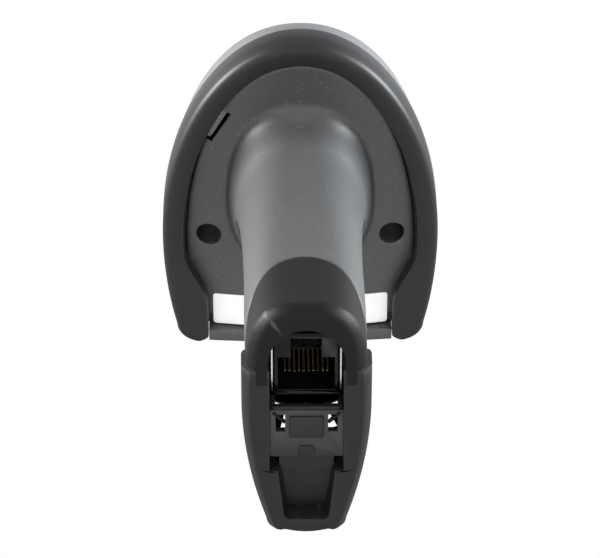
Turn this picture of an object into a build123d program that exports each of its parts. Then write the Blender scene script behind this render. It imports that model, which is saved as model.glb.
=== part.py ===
from build123d import *
import math
import os

os.makedirs("parts", exist_ok=True)

# Hand-held barcode scanner: a wide head on a leaning pistol grip that ends in a flat foot.
# Millimetres. +Z is up, the nose points to -Y, and the origin is under the middle of the
# whole object, on the surface that the foot stands on.

# ---------------------------------------------------------------- driving dimensions
overall_height = 165.0
head_width = 67.0
head_length = 87.5
foot_overhang = 10.0  # how far the heel of the foot stands behind the head
cover_rise = 43.0  # top cover above the bumper, at the nose
bumper_height = 7.0

tail_length = 56.0  # the rounded rear of the head's outline, a half-ellipse
nose_half_width = 30.5
nose_crown = 1.5  # how far the middle of the nose bulges past its corners
nose_corner = 5.0
roof_length = 152.0  # lengthwise half-axis of the ellipse that the roof line follows
roof_fullness = 2.5  # exponent of the roof's cross-section: 2 is an ellipse, more is boxier
underside_crown = 3.5  # how much higher the underside is at its sides than in its middle

wall = 2.0  # every moulded shell
bumper_wall = 2.2
bumper_lip = 5.3  # how far the bumper's lower lip reaches in under the head
bumper_lip_height = 1.2
lobe_width = 7.6
lobe_length = 19.0
lobe_drop = 2.0

root_setback = 25.0  # from the rear of the head to the grip's heel line at the underside
grip_seam_depth = 20.0  # from the heel line forward to the seam of the two grip shells
flare_drop = 7.0  # the front shell starts this far below the underside
cap_arch_base = 8.0  # up to here the end cap is as wide as the grip
cap_arch_rise = 22.0
cap_arch_half = 13.3

gap = 0.3  # between neighbouring pieces that don't touch
running_clearance = 0.05  # radial, round a pin that turns
screw_clearance = 0.2  # radial, round a screw in a through hole
beyond = 400.0  # longer than the whole object, for blocks that cut right through
cut_margin = 1.0  # how far a cutting block starts outside the face that it cuts

# ---------------------------------------------------------------- places worked out
underside_z = overall_height - bumper_height - cover_rise
split_z = underside_z + bumper_height
heel_y = (head_length + foot_overhang) / 2
tail_y = heel_y - foot_overhang
nose_y = tail_y - head_length
wide_y = tail_y - tail_length
root_heel_y = tail_y - root_setback
flare_seam_z = underside_z - flare_drop
lean_slope = (heel_y - root_heel_y) / underside_z
bezel_depth = 4.0
shell_front_y = nose_y + bezel_depth
cover_inset = 1.2  # top cover's edge inside the bumper's outer edge


def heel_at(height):
    """The y of the grip's heel line, which leans back, at a height."""
    return heel_y - lean_slope * height


def half_width_at(setback):
    """Half width of the head's outline at a distance forward of its tail."""
    if setback < tail_length:
        share = (tail_length - setback) / tail_length
        return head_width / 2 * math.sqrt(1 - share**2)
    share = (setback - tail_length) / (head_length - tail_length)
    return head_width / 2 - (head_width / 2 - nose_half_width) * share**2


def roof_height_at(setback):
    """Height of the roof line over the bumper's top at a distance forward of the tail."""

    def ellipse(distance):
        share = (roof_length - distance) / roof_length
        return math.sqrt(1 - share**2)

    return cover_rise * ellipse(setback) / ellipse(head_length)


def head_outline(inset):
    """Plan of the head moved in by inset: half-ellipse tail, tapering sides, crowned nose."""
    half = head_width / 2 - inset
    front_half = nose_half_width - inset
    front = nose_y + inset
    with BuildSketch() as plan:
        with BuildLine():
            EllipticalCenterArc(
                (0, wide_y), half, tail_length - inset, start_angle=0, arc_size=180
            )
            for side in (1, -1):
                Spline(
                    (side * half, wide_y),
                    (side * front_half, front + nose_crown),
                    tangents=[(0, -1), (-side * 0.18, -1)],
                )
            ThreePointArc(
                (front_half, front + nose_crown),
                (0, front),
                (-front_half, front + nose_crown),
            )
        make_face()
        fillet(plan.vertices().group_by(Axis.Y)[0], nose_corner - inset / 2)
    return plan.sketch


def roof_section(setback, inset):
    """One cross-section of the head's roof, standing on the plane of the bumper's top."""
    half = half_width_at(setback - inset) - cover_inset - inset
    rise = roof_height_at(setback - inset) - inset
    points = []
    for step in range(9):
        angle = math.pi * step / 8
        across = abs(math.cos(angle)) ** (2 / roof_fullness)
        points.append(
            (
                half * math.copysign(across, math.cos(angle)),
                rise * math.sin(angle) ** (2 / roof_fullness),
            )
        )
    plane = Plane(origin=(0, tail_y - setback, split_z), x_dir=(1, 0, 0), z_dir=(0, -1, 0))
    with BuildSketch(plane) as cut:
        with BuildLine():
            Spline(*points, tangents=[(0, 1), (0, -1)])
            Line(points[-1], points[0])
        make_face()
    return cut.sketch


def roof_body(inset, front_setback):
    """Solid under the roof line, moved in by inset, from near the tail to a setback."""
    first = 0.8 + inset
    last_step = 12
    with BuildPart() as dome:
        for step in range(last_step + 1):
            share = 1 - math.cos(math.pi / 2 * step / last_step)
            add(roof_section(first + (front_setback - first) * share, inset))
        loft()
    return dome.part


# The grip, at shares of its height up to the underside: 0 at the foot, 1 at the head.
grip_foot_half = 12.8
grip_waist_half = 13.4
grip_root_half = 15.6
grip_foot_depth = 36.5
grip_waist_depth = 35.0
grip_root_depth = 41.0
grip_waist_share = 0.4
flare_reach = 6.5  # how far the root spreads into the underside, all round
flare_fade = 0.055  # share of the height over which the spread falls to a third
grip_roundness = 0.9  # corner radius as a share of the half width
grip_station_count = 19
grip_top_share = 1.035


def waisted(foot, waist, root, share):
    """A size that runs smoothly from the foot through the waist to the root."""
    if share < grip_waist_share:
        part_way = 1 - share / grip_waist_share
        return waist + (foot - waist) * part_way**2
    part_way = (share - grip_waist_share) / (1 - grip_waist_share)
    return waist + (root - waist) * part_way**2


def grip_depth_at(share):
    """Depth of the grip front to back, without its flare."""
    return waisted(grip_foot_depth, grip_waist_depth, grip_root_depth, share)


def grip_body(inset):
    """Solid of the leaning grip with its surface moved in by inset."""
    with BuildPart() as grip:
        for station in range(grip_station_count):
            share = grip_top_share * station / (grip_station_count - 1)
            height = share * underside_z
            half = waisted(grip_foot_half, grip_waist_half, grip_root_half, share)
            depth = grip_depth_at(share)
            flare = flare_reach * math.exp(min(share - 1, 0) / flare_fade)
            with BuildSketch(Plane.XY.offset(height)):
                with Locations((0, heel_at(height) - depth / 2)):
                    RectangleRounded(
                        2 * (half + flare - inset),
                        depth + 2 * flare - 2 * inset,
                        grip_roundness * (half + flare) - inset,
                    )
        loft()
    return grip.part


def grip_front_at(height):
    """The y of the grip's front line at a height below the flare."""
    return heel_at(height) - grip_depth_at(height / underside_z)


def behind_seam():
    """Behind the grip's seam, a prism that leans with the heel, and all of the flare."""
    with BuildPart() as region:
        with BuildSketch(Plane.YZ):
            with BuildLine():
                Polyline(
                    (heel_at(-10) - grip_seam_depth, -10),
                    (beyond, -10),
                    (beyond, overall_height),
                    (heel_at(overall_height) - grip_seam_depth, overall_height),
                    close=True,
                )
            make_face()
        extrude(amount=beyond, both=True)
        with BuildSketch(Plane.XY.offset(flare_seam_z)):
            Rectangle(2 * beyond, 2 * beyond)
        extrude(amount=overall_height)
    return region.part


def below_arch(clearance):
    """Everything below the arched upper edge of the end cap, widened by a clearance."""
    with BuildPart() as region:
        with BuildSketch(Plane.XZ):
            with Locations((0, cap_arch_base)):
                Ellipse(cap_arch_half + clearance, cap_arch_rise + clearance)
            with Locations((0, cap_arch_base + clearance)):
                Rectangle(2 * head_width, beyond, align=(Align.CENTER, Align.MAX))
        extrude(amount=beyond, both=True)
    return region.part


grip_outer = grip_body(0)
grip_inner = grip_body(wall)
rear_region = behind_seam()

# ---------------------------------------------------------------- screws of the head
screw_x = 22.3
screw_y = wide_y
screw_well_radius = 3.1
screw_well_height = 15.0
screw_head_radius = 2.75
screw_head_height = 2.0
screw_radius = 1.5
screw_length = 12.0
insert_radius = 2.3
insert_length = 5.0
boss_wall = 1.5
screw_places = ((-screw_x, screw_y), (screw_x, screw_y))
well_top_z = underside_z + screw_well_height

# ---------------------------------------------------------------- lower housing
crown_chord = 30.0
crown_radius = (crown_chord**2 + underside_crown**2) / (2 * underside_crown)


def crowned_tray(inset, floor):
    """Block with the head's plan whose underside is a wide arc across the head."""
    with BuildPart() as block:
        with BuildSketch(Plane.XY.offset(underside_z)):
            add(head_outline(bumper_wall + inset))
        extrude(amount=bumper_height)
        with Locations((0, 0, underside_z + crown_radius)):
            Cylinder(crown_radius - floor, beyond, rotation=(90, 0, 0), mode=Mode.INTERSECT)
    return block.part


tray_outer = crowned_tray(0, 0)
tray_inner = crowned_tray(wall, wall)

snap_slot_width = 2.6
snap_slot_length = 9.5
snap_slot_x = 20.0
snap_slot_y = tail_y - 23.75
snap_slot_turn = -60.0  # degrees from +X, in line with the outline there

board_post_front = (14.0, nose_y + 12.5)
board_post_rear = (11.0, tail_y - 15.0)
board_post_places = [
    (side * x, y) for x, y in (board_post_front, board_post_rear) for side in (-1, 1)
]
board_post_radius = 2.4
board_z = underside_z + 11.0
board_screw_radius = 1.0
board_thickness = 1.6
board_screw_length = 5.0
post_root = 0.2  # how far a post is sunk into the floor it stands on

with BuildPart() as lower_housing:
    add(tray_outer)
    add(tray_inner, mode=Mode.SUBTRACT)
    add(grip_outer & rear_region)
    add(grip_inner, mode=Mode.SUBTRACT)
    # Open at the nose, where the bezel closes the head.
    with BuildSketch(Plane.XY.offset(underside_z - cut_margin)):
        with Locations((0, nose_y)):
            Rectangle(head_width, 2 * bezel_depth)
    extrude(amount=bumper_height + 2 * cut_margin, mode=Mode.SUBTRACT)
    add(below_arch(0), mode=Mode.SUBTRACT)
    # Deep screw wells, closed at the top but for the screw's own hole.
    with BuildSketch(Plane.XY.offset(underside_z + wall)):
        with Locations(*screw_places):
            Circle(screw_well_radius + boss_wall)
    extrude(amount=screw_well_height - wall)
    with BuildSketch(Plane.XY.offset(underside_z - cut_margin)):
        with Locations(*screw_places):
            Circle(screw_well_radius)
    extrude(amount=screw_well_height + cut_margin - wall, mode=Mode.SUBTRACT)
    with BuildSketch(Plane.XY.offset(underside_z)):
        with Locations(*screw_places):
            Circle(screw_radius + screw_clearance)
    extrude(amount=screw_well_height + cut_margin, mode=Mode.SUBTRACT)
    # Slot for the top cover's snap hook, on one side only.
    with BuildSketch(Plane.XY.offset(underside_z - cut_margin)):
        with Locations(Location((snap_slot_x, snap_slot_y), snap_slot_turn)):
            Rectangle(snap_slot_length, snap_slot_width)
    extrude(amount=cut_margin + underside_crown + wall, mode=Mode.SUBTRACT)
    # Posts for the main board.
    with BuildSketch(Plane.XY.offset(underside_z + wall - post_root)):
        with Locations(*board_post_places):
            Circle(board_post_radius)
    extrude(amount=board_z - underside_z - wall + post_root)
    with BuildSketch(Plane.XY.offset(board_z)):
        with Locations(*board_post_places):
            Circle(board_screw_radius)
    extrude(amount=-board_screw_length, mode=Mode.SUBTRACT)
lower_housing.part.label = "lower_housing"
export_step(lower_housing.part, "parts/lower_housing.step")

# ---------------------------------------------------------------- top cover
roof_outer = roof_body(0, tail_y - shell_front_y)
roof_inner = roof_body(wall, tail_y - shell_front_y)
seal_width = 1.2
seal_height = 1.0
pipe_y = tail_y - 30.0
pipe_length = 14.0
pipe_width = 3.6
snap_hook_thickness = 1.6
pipe_clearance = 0.05
pipe_lift = 2.0  # from the board up to the pipe, over the lamp that lights it

with BuildPart() as top_cover:
    add(roof_outer)
    add(roof_inner, mode=Mode.SUBTRACT)
    # Bosses that take the threaded inserts, up to the roof.
    with BuildPart(mode=Mode.PRIVATE) as bosses:
        with BuildSketch(Plane.XY.offset(well_top_z)):
            with Locations(*screw_places):
                Circle(insert_radius + boss_wall)
        extrude(amount=cover_rise)
        add(roof_outer, mode=Mode.INTERSECT)
    add(bosses.part)
    with BuildSketch(Plane.XY.offset(well_top_z)):
        with Locations(*screw_places):
            Circle(insert_radius)
    extrude(amount=insert_length, mode=Mode.SUBTRACT)
    with BuildSketch(Plane.XY.offset(well_top_z)):
        with Locations(*screw_places):
            Circle(screw_radius + screw_clearance)
    extrude(amount=screw_length, mode=Mode.SUBTRACT)
    # Snap hook that reaches down into the slot of the lower housing.
    with BuildPart(mode=Mode.PRIVATE) as snap_hook:
        with BuildSketch(Plane.XY.offset(underside_z + wall)):
            with Locations(Location((snap_slot_x, snap_slot_y), snap_slot_turn)):
                Rectangle(snap_slot_length - 2 * gap, snap_hook_thickness)
        extrude(amount=cover_rise)
        with BuildPart(mode=Mode.PRIVATE) as reach:
            add(tray_inner)
            add(roof_outer)
        add(reach.part, mode=Mode.INTERSECT)
    add(snap_hook.part)
    # Slot in the roof for the status light pipe.
    with BuildSketch(Plane.XY.offset(split_z + wall)):
        with Locations((0, pipe_y)):
            SlotOverall(pipe_length, pipe_width)
    extrude(amount=cover_rise, mode=Mode.SUBTRACT)
top_cover.part.label = "top_cover"
export_step(top_cover.part, "parts/top_cover.step")

with BuildPart() as status_light_pipe:
    with BuildSketch(Plane.XY.offset(board_z + board_thickness + pipe_lift)):
        with Locations((0, pipe_y)):
            SlotOverall(pipe_length - 2 * pipe_clearance, pipe_width - 2 * pipe_clearance)
    extrude(amount=cover_rise)
    add(roof_outer, mode=Mode.INTERSECT)
status_light_pipe.part.label = "status_light_pipe"
export_step(status_light_pipe.part, "parts/status_light_pipe.step")

# ---------------------------------------------------------------- seal between the shells
with BuildPart() as housing_seal:
    with BuildSketch(Plane.XY.offset(split_z - seal_height)):
        add(head_outline(bumper_wall + wall))
        add(head_outline(bumper_wall + wall + seal_width), mode=Mode.SUBTRACT)
    extrude(amount=seal_height)
    with BuildSketch(Plane.XY.offset(underside_z)):
        with Locations((0, nose_y)):
            Rectangle(head_width, 2 * bezel_depth)
        with Locations(Location((snap_slot_x, snap_slot_y), snap_slot_turn)):
            Rectangle(snap_slot_length, snap_slot_width)
    extrude(amount=bumper_height, mode=Mode.SUBTRACT)
housing_seal.part.label = "housing_seal"
export_step(housing_seal.part, "parts/housing_seal.step")

# ---------------------------------------------------------------- bumper
bumper_edge = 1.8  # rounding of its outer lower edge
with BuildPart() as bumper:
    with BuildSketch(Plane.XY.offset(underside_z - bumper_lip_height)):
        add(head_outline(0))
    extrude(amount=bumper_height + bumper_lip_height)
    fillet(bumper.faces().sort_by(Axis.Z)[0].edges(), bumper_edge)
    with BuildSketch(Plane.XY.offset(underside_z)):
        add(head_outline(bumper_wall))
    extrude(amount=bumper_height, mode=Mode.SUBTRACT)
    with BuildSketch(Plane.XY.offset(underside_z)):
        add(head_outline(bumper_lip))
    extrude(amount=-2 * bumper_lip_height, mode=Mode.SUBTRACT)
    # The ring is open across the nose.
    with BuildSketch(Plane.XY.offset(underside_z - 2 * bumper_lip_height)):
        with Locations((0, nose_y)):
            Rectangle(2 * (nose_half_width - lobe_width), 3 * bezel_depth)
    extrude(amount=2 * bumper_height, mode=Mode.SUBTRACT)
    # Wide pads under the two front corners.
    with BuildPart(mode=Mode.PRIVATE) as lobes:
        with BuildSketch(Plane.XY.offset(underside_z - lobe_drop)):
            add(head_outline(0))
            with Locations((0, nose_y + lobe_length / 2)):
                Rectangle(2 * head_width, lobe_length, mode=Mode.INTERSECT)
            with Locations((0, nose_y + lobe_length / 2)):
                Rectangle(
                    2 * (nose_half_width - lobe_width), 2 * lobe_length, mode=Mode.SUBTRACT
                )
        extrude(amount=lobe_drop + underside_crown)
        fillet(lobes.faces().group_by(Axis.Z)[0].edges(), bumper_edge / 2)
        add(tray_outer, mode=Mode.SUBTRACT)
    add(lobes.part)
bumper.part.label = "bumper"
export_step(bumper.part, "parts/bumper.step")

# ---------------------------------------------------------------- nose: bezel, window, gasket
window_width = 42.0
window_height = 18.0
window_rim = 1.4  # how far the pane laps the bezel behind the opening
window_thickness = 1.5
window_corner = 4.0
window_z = split_z + 17.0
pane_front_y = nose_y + nose_crown + 0.5
gasket_thickness = shell_front_y - pane_front_y - window_thickness
pane_clearance = 0.1
bezel_drop = 0.6  # its lower edge shows as a lip under the head


def nose_plane(y):
    """Plane across the nose, x to the right and y up, facing the way the nose points."""
    return Plane(origin=(0, y, window_z), x_dir=(1, 0, 0), z_dir=(0, -1, 0))


with BuildPart() as roof_nose:
    add(roof_section(tail_y - shell_front_y, 0))
    extrude(amount=bezel_depth, dir=(0, -1, 0))

with BuildPart() as front_bezel:
    # Roof-shaped frame with the plan's rounded nose, and the chin between the bumper's pads.
    add(roof_nose.part)
    with BuildSketch(Plane.XY.offset(underside_z - bezel_drop)):
        with Locations((0, nose_y)):
            Rectangle(2 * (nose_half_width - lobe_width - gap), 2 * bezel_depth)
    extrude(amount=bumper_height + bezel_drop)
    with BuildSketch(Plane.XY.offset(underside_z - bezel_drop)):
        add(head_outline(0))
    extrude(amount=2 * cover_rise, mode=Mode.INTERSECT)
    with BuildSketch(nose_plane(nose_y)):
        RectangleRounded(window_width, window_height, window_corner)
    extrude(amount=-bezel_depth, mode=Mode.SUBTRACT)
    with BuildSketch(nose_plane(pane_front_y)):
        RectangleRounded(
            window_width + 2 * (window_rim + pane_clearance),
            window_height + 2 * (window_rim + pane_clearance),
            window_corner + window_rim,
        )
    extrude(amount=-bezel_depth, mode=Mode.SUBTRACT)
front_bezel.part.label = "front_bezel"
export_step(front_bezel.part, "parts/front_bezel.step")

with BuildPart() as scan_window:
    with BuildSketch(nose_plane(pane_front_y)):
        RectangleRounded(
            window_width + 2 * window_rim,
            window_height + 2 * window_rim,
            window_corner + window_rim,
        )
    extrude(amount=-window_thickness)
scan_window.part.label = "scan_window"
export_step(scan_window.part, "parts/scan_window.step")

with BuildPart() as window_gasket:
    with BuildSketch(nose_plane(pane_front_y + window_thickness)):
        RectangleRounded(
            window_width + 2 * window_rim,
            window_height + 2 * window_rim,
            window_corner + window_rim,
        )
        RectangleRounded(
            window_width - 2 * window_rim,
            window_height - 2 * window_rim,
            window_corner - window_rim,
            mode=Mode.SUBTRACT,
        )
    extrude(amount=-gasket_thickness)
window_gasket.part.label = "window_gasket"
export_step(window_gasket.part, "parts/window_gasket.step")

# ---------------------------------------------------------------- main board in the head
board_half_width = 17.0
board_front_y = board_post_front[1] - 4.0
board_rear_y = board_post_rear[1] + 3.0
board_rear_corner = 9.0
board_front_corner = 1.5
board_top_z = board_z + board_thickness
board_screw_head = 1.9
board_screw_head_height = 1.2
chip_edge = 0.2
chip_row_y = pipe_y - 9.5
connector_y = pipe_y - 20.5

with BuildPart() as main_board:
    with BuildSketch(Plane.XY.offset(board_z)):
        with Locations((0, (board_front_y + board_rear_y) / 2)):
            Rectangle(2 * board_half_width, board_rear_y - board_front_y)
    extrude(amount=board_thickness)
    fillet(main_board.edges().filter_by(Axis.Z).group_by(Axis.Y)[-1], board_rear_corner)
    fillet(main_board.edges().filter_by(Axis.Z).group_by(Axis.Y)[0], board_front_corner)
    with BuildSketch(Plane.XY.offset(board_z)):
        with Locations(*board_post_places):
            Circle(board_screw_radius + screw_clearance)
    extrude(amount=board_thickness, mode=Mode.SUBTRACT)
main_board.part.label = "main_board"
export_step(main_board.part, "parts/main_board.step")

with BuildPart() as board_screws:
    with BuildSketch(Plane.XY.offset(board_top_z)):
        with Locations(*board_post_places):
            Circle(board_screw_head)
    extrude(amount=board_screw_head_height)
    with BuildSketch(Plane.XY.offset(board_top_z)):
        with Locations(*board_post_places):
            Circle(board_screw_radius)
    extrude(amount=-board_screw_length)
board_screws.part.label = "board_screws"
export_step(board_screws.part, "parts/board_screws.step")


def chip(width, depth, height, place):
    """A board component: a plain rectangular package that stands on the main board."""
    with BuildPart() as package:
        with BuildSketch(Plane.XY.offset(board_top_z)):
            with Locations(place):
                Rectangle(width, depth)
        extrude(amount=height)
        chamfer(package.faces().sort_by(Axis.Z)[-1].edges(), chip_edge)
    return package.part


processor_chip = chip(11.0, 11.0, 1.3, (-7.0, chip_row_y))
processor_chip.label = "processor_chip"
export_step(processor_chip, "parts/processor_chip.step")

memory_chip = chip(8.0, 10.0, 1.0, (8.0, chip_row_y))
memory_chip.label = "memory_chip"
export_step(memory_chip, "parts/memory_chip.step")

board_connector = chip(14.0, 4.0, 2.6, (0, connector_y))
board_connector.label = "board_connector"
export_step(board_connector, "parts/board_connector.step")

status_led = chip(3.2, 1.6, 1.1, (0, pipe_y))
status_led.label = "status_led"
export_step(status_led, "parts/status_led.step")

beeper_radius = 6.0
beeper_height = 4.5
beeper_y = tail_y - 21.0
beeper_hole_radius = 1.2
beeper_hole_depth = 1.5
beeper_edge = 0.4
with BuildPart() as beeper:
    with BuildSketch(Plane.XY.offset(board_top_z)):
        with Locations((0, beeper_y)):
            Circle(beeper_radius)
    extrude(amount=beeper_height)
    chamfer(beeper.faces().sort_by(Axis.Z)[-1].edges(), beeper_edge)
    Hole(beeper_hole_radius, depth=beeper_hole_depth)
beeper.part.label = "beeper"
export_step(beeper.part, "parts/beeper.step")

# ---------------------------------------------------------------- screws and inserts
recess_length = 3.2
recess_width = 0.8
recess_depth = 1.2

with BuildPart() as head_screws:
    with BuildSketch(Plane.XY.offset(well_top_z - wall)):
        with Locations(*screw_places):
            Circle(screw_head_radius)
    extrude(amount=-screw_head_height)
    with BuildSketch(Plane.XY.offset(well_top_z - wall)):
        with Locations(*screw_places):
            Circle(screw_radius)
    extrude(amount=screw_length - wall)
    # Cross recess in each head.
    with BuildSketch(Plane.XY.offset(well_top_z - wall - screw_head_height)):
        with Locations(*screw_places):
            Rectangle(recess_length, recess_width)
            Rectangle(recess_width, recess_length)
    extrude(amount=recess_depth, mode=Mode.SUBTRACT)
head_screws.part.label = "head_screws"
export_step(head_screws.part, "parts/head_screws.step")

with BuildPart() as screw_inserts:
    with BuildSketch(Plane.XY.offset(well_top_z)):
        with Locations(*screw_places):
            Circle(insert_radius)
        with Locations(*screw_places):
            Circle(screw_radius, mode=Mode.SUBTRACT)
    extrude(amount=insert_length)
screw_inserts.part.label = "screw_inserts"
export_step(screw_inserts.part, "parts/screw_inserts.step")

# ---------------------------------------------------------------- imager behind the window
chassis_front_y = shell_front_y + gap
chassis_depth = 13.0
chassis_width = 40.0
chassis_height = 17.0
camera_board_y = chassis_front_y + chassis_depth
camera_x = -6.0
lens_radius = 4.6
aimer_x = 6.5
aimer_radius = 2.6
lamp_x = 15.0
lamp_side = 6.0
lamp_height = 10.0
seat_clearance = 0.1
chassis_foot_x = 9.0
chassis_foot_side = 6.0
chassis_foot_setback = 4.0  # from the camera board forward to the middle of a foot
camera_board_thickness = 1.2
chassis_screw_radius = 0.8
chassis_screw_head = 1.6
chassis_screw_head_height = 1.0
chassis_screw_length = 5.0
chassis_screw_rise = chassis_height / 2 - 2.0
chassis_screw_places = ((0, chassis_screw_rise), (0, -chassis_screw_rise))


def on_optics(*places):
    """Plane locations across the nose for things on the imager's centre line."""
    return [(x, 0) for x in places]


with BuildPart() as imager_chassis:
    with BuildSketch(nose_plane(chassis_front_y)):
        RectangleRounded(chassis_width, chassis_height, 2.0)
    extrude(amount=-chassis_depth)
    with BuildSketch(nose_plane(chassis_front_y)):
        with Locations(*on_optics(camera_x)):
            Circle(lens_radius + seat_clearance)
        with Locations(*on_optics(aimer_x)):
            Circle(aimer_radius + seat_clearance)
        with Locations(*on_optics(-lamp_x, lamp_x)):
            Rectangle(lamp_side + 2 * seat_clearance, lamp_height + 2 * seat_clearance)
    extrude(amount=-chassis_depth, mode=Mode.SUBTRACT)
    # Two feet that stand on the main board.
    with BuildSketch(Plane.XY.offset(board_top_z)):
        with Locations(
            *[(side * chassis_foot_x, camera_board_y - chassis_foot_setback) for side in (-1, 1)]
        ):
            Rectangle(chassis_foot_side, chassis_foot_side)
    extrude(amount=window_z - chassis_height / 2 - board_top_z + post_root)
    with BuildSketch(nose_plane(camera_board_y)):
        with Locations(*chassis_screw_places):
            Circle(chassis_screw_radius)
    extrude(amount=chassis_screw_length, mode=Mode.SUBTRACT)
imager_chassis.part.label = "imager_chassis"
export_step(imager_chassis.part, "parts/imager_chassis.step")

with BuildPart() as camera_board:
    with BuildSketch(nose_plane(camera_board_y)):
        RectangleRounded(chassis_width - 2, chassis_height - 1, 1.0)
        with Locations(*chassis_screw_places):
            Circle(chassis_screw_radius + screw_clearance, mode=Mode.SUBTRACT)
    extrude(amount=-camera_board_thickness)
camera_board.part.label = "camera_board"
export_step(camera_board.part, "parts/camera_board.step")

with BuildPart() as chassis_screws:
    with BuildSketch(nose_plane(camera_board_y + camera_board_thickness)):
        with Locations(*chassis_screw_places):
            Circle(chassis_screw_head)
    extrude(amount=-chassis_screw_head_height)
    with BuildSketch(nose_plane(camera_board_y + camera_board_thickness)):
        with Locations(*chassis_screw_places):
            Circle(chassis_screw_radius)
    extrude(amount=chassis_screw_length)
chassis_screws.part.label = "chassis_screws"
export_step(chassis_screws.part, "parts/chassis_screws.step")

with BuildPart() as image_sensor:
    with BuildSketch(nose_plane(camera_board_y)):
        with Locations(*on_optics(camera_x)):
            Rectangle(6.0, 5.0)
    extrude(amount=1.0)
image_sensor.part.label = "image_sensor"
export_step(image_sensor.part, "parts/image_sensor.step")

lens_seat = 2.0
lens_wall = 1.4
lens_end_gap = 0.5
sensor_gap = 0.2
sensor_height = 1.0
lens_thickness = 1.8
lamp_lens_thickness = 3.0
lamp_recess = 1.0
with BuildPart() as lens_barrel:
    with BuildSketch(nose_plane(camera_board_y - sensor_height - sensor_gap)):
        with Locations(*on_optics(camera_x)):
            Circle(lens_radius)
            Circle(lens_radius - lens_wall, mode=Mode.SUBTRACT)
    extrude(amount=chassis_depth - sensor_height - sensor_gap - lens_end_gap)
lens_barrel.part.label = "lens_barrel"
export_step(lens_barrel.part, "parts/lens_barrel.step")

with BuildPart() as lens_front:
    with BuildSketch(nose_plane(chassis_front_y + lens_seat)):
        with Locations(*on_optics(camera_x)):
            Circle(lens_radius - lens_wall)
    extrude(amount=-lens_thickness)
    fillet(lens_front.edges().group_by(Axis.Y)[0], 0.5)
lens_front.part.label = "lens_front"
export_step(lens_front.part, "parts/lens_front.step")

with BuildPart() as aimer_lens:
    with BuildSketch(nose_plane(chassis_front_y + lamp_recess)):
        with Locations(*on_optics(aimer_x)):
            Circle(aimer_radius)
    extrude(amount=-lamp_lens_thickness)
    fillet(aimer_lens.edges().group_by(Axis.Y)[0], 0.8)
aimer_lens.part.label = "aimer_lens"
export_step(aimer_lens.part, "parts/aimer_lens.step")

with BuildPart() as aimer_led:
    with BuildSketch(nose_plane(camera_board_y)):
        with Locations(*on_optics(aimer_x)):
            Circle(1.6)
    extrude(amount=3.5)
aimer_led.part.label = "aimer_led"
export_step(aimer_led.part, "parts/aimer_led.step")

with BuildPart() as illumination_lenses:
    with BuildSketch(nose_plane(chassis_front_y + lamp_recess)):
        with Locations(*on_optics(-lamp_x, lamp_x)):
            Rectangle(lamp_side, lamp_height)
    extrude(amount=-lamp_lens_thickness)
illumination_lenses.part.label = "illumination_lenses"
export_step(illumination_lenses.part, "parts/illumination_lenses.step")

with BuildPart() as illumination_leds:
    with BuildSketch(nose_plane(camera_board_y)):
        with Locations(*on_optics(-lamp_x, lamp_x)):
            Rectangle(3.5, 3.5)
    extrude(amount=1.6)
illumination_leds.part.label = "illumination_leds"
export_step(illumination_leds.part, "parts/illumination_leds.step")

# ---------------------------------------------------------------- foot: jack well and beak
foot_floor = 2.5  # thickness of the end cap's flat end
well_half_width = 8.2
well_rear_y = heel_y - 6.5
well_front_y = heel_y - 41.0
well_height = 18.0
beak_tip_y = heel_y - 63.2
beak_root_y = heel_y - 27.0
beak_shoulder = 4.0  # straight run of the beak's sides behind its root
beak_root_half = 13.9
beak_middle_half = 12.4
beak_tip_half = 8.1
beak_crown = 0.8
beak_height = 8.0
beak_tip_height = 5.5
pocket_rear_y = heel_y - 44.0
pocket_tip_y = heel_y - 58.0
pocket_root_half = 5.6
pocket_tip_half = 4.3
pocket_depth = 5.2
slot_low_z = 6.5
slot_high_z = 18.5
slot_reach = 18.0
slot_lead = 4.0  # how far the slot starts in front of the well
end_bevel = 2.2


def jack_well(clearance):
    """The well in the foot: an arched slot open at the foot's end, rear end round."""
    half = well_half_width + clearance
    with BuildPart() as region:
        with BuildSketch(Plane.XY.offset(-1)):
            with Locations((0, (well_rear_y - half + well_front_y) / 2)):
                Rectangle(2 * half, well_rear_y - half - well_front_y)
            with Locations((0, well_rear_y - half)):
                Circle(half)
        extrude(amount=well_height + 1)
    return region.part


well = jack_well(0)
cap_region = below_arch(-0.1) & rear_region

with BuildPart() as end_cap:
    add(grip_outer & cap_region)
    chamfer(end_cap.faces().sort_by(Axis.Z)[0].edges().group_by(Axis.Y)[-1], end_bevel)
    with BuildPart(mode=Mode.PRIVATE) as hollow:
        add(grip_inner)
        with BuildSketch(Plane.XY.offset(foot_floor)):
            with Locations((0, heel_y - grip_seam_depth)):
                Rectangle(beyond, beyond)
        extrude(amount=beyond, mode=Mode.INTERSECT)
    add(hollow.part, mode=Mode.SUBTRACT)
    add(well, mode=Mode.SUBTRACT)
end_cap.part.label = "end_cap"
export_step(end_cap.part, "parts/end_cap.step")

# ---------------------------------------------------------------- trigger
trigger_width = 17.0
trigger_top_z = underside_z - 8.0
trigger_bottom_z = underside_z - 42.0
trigger_thickness = 3.2
trigger_pivot_z = underside_z - 13.0
trigger_pivot_y = grip_front_at(trigger_pivot_z) + 7.0
trigger_hub_radius = 3.0
pin_radius = 1.2
pin_overhang = 2.0  # how far the pin runs into each boss
trigger_side_gap = 0.5
trigger_pull = 3.5  # degrees
switch_z = underside_z - 31.0
plunger_radius = 1.5
switch_gap = 0.15  # between the trigger's boss and the switch plunger at rest

front_region = grip_outer - rear_region


def front_point(height, forward):
    """A point of the trigger's profile, forward of the grip's front line."""
    return (grip_front_at(height) - forward, height)


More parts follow.
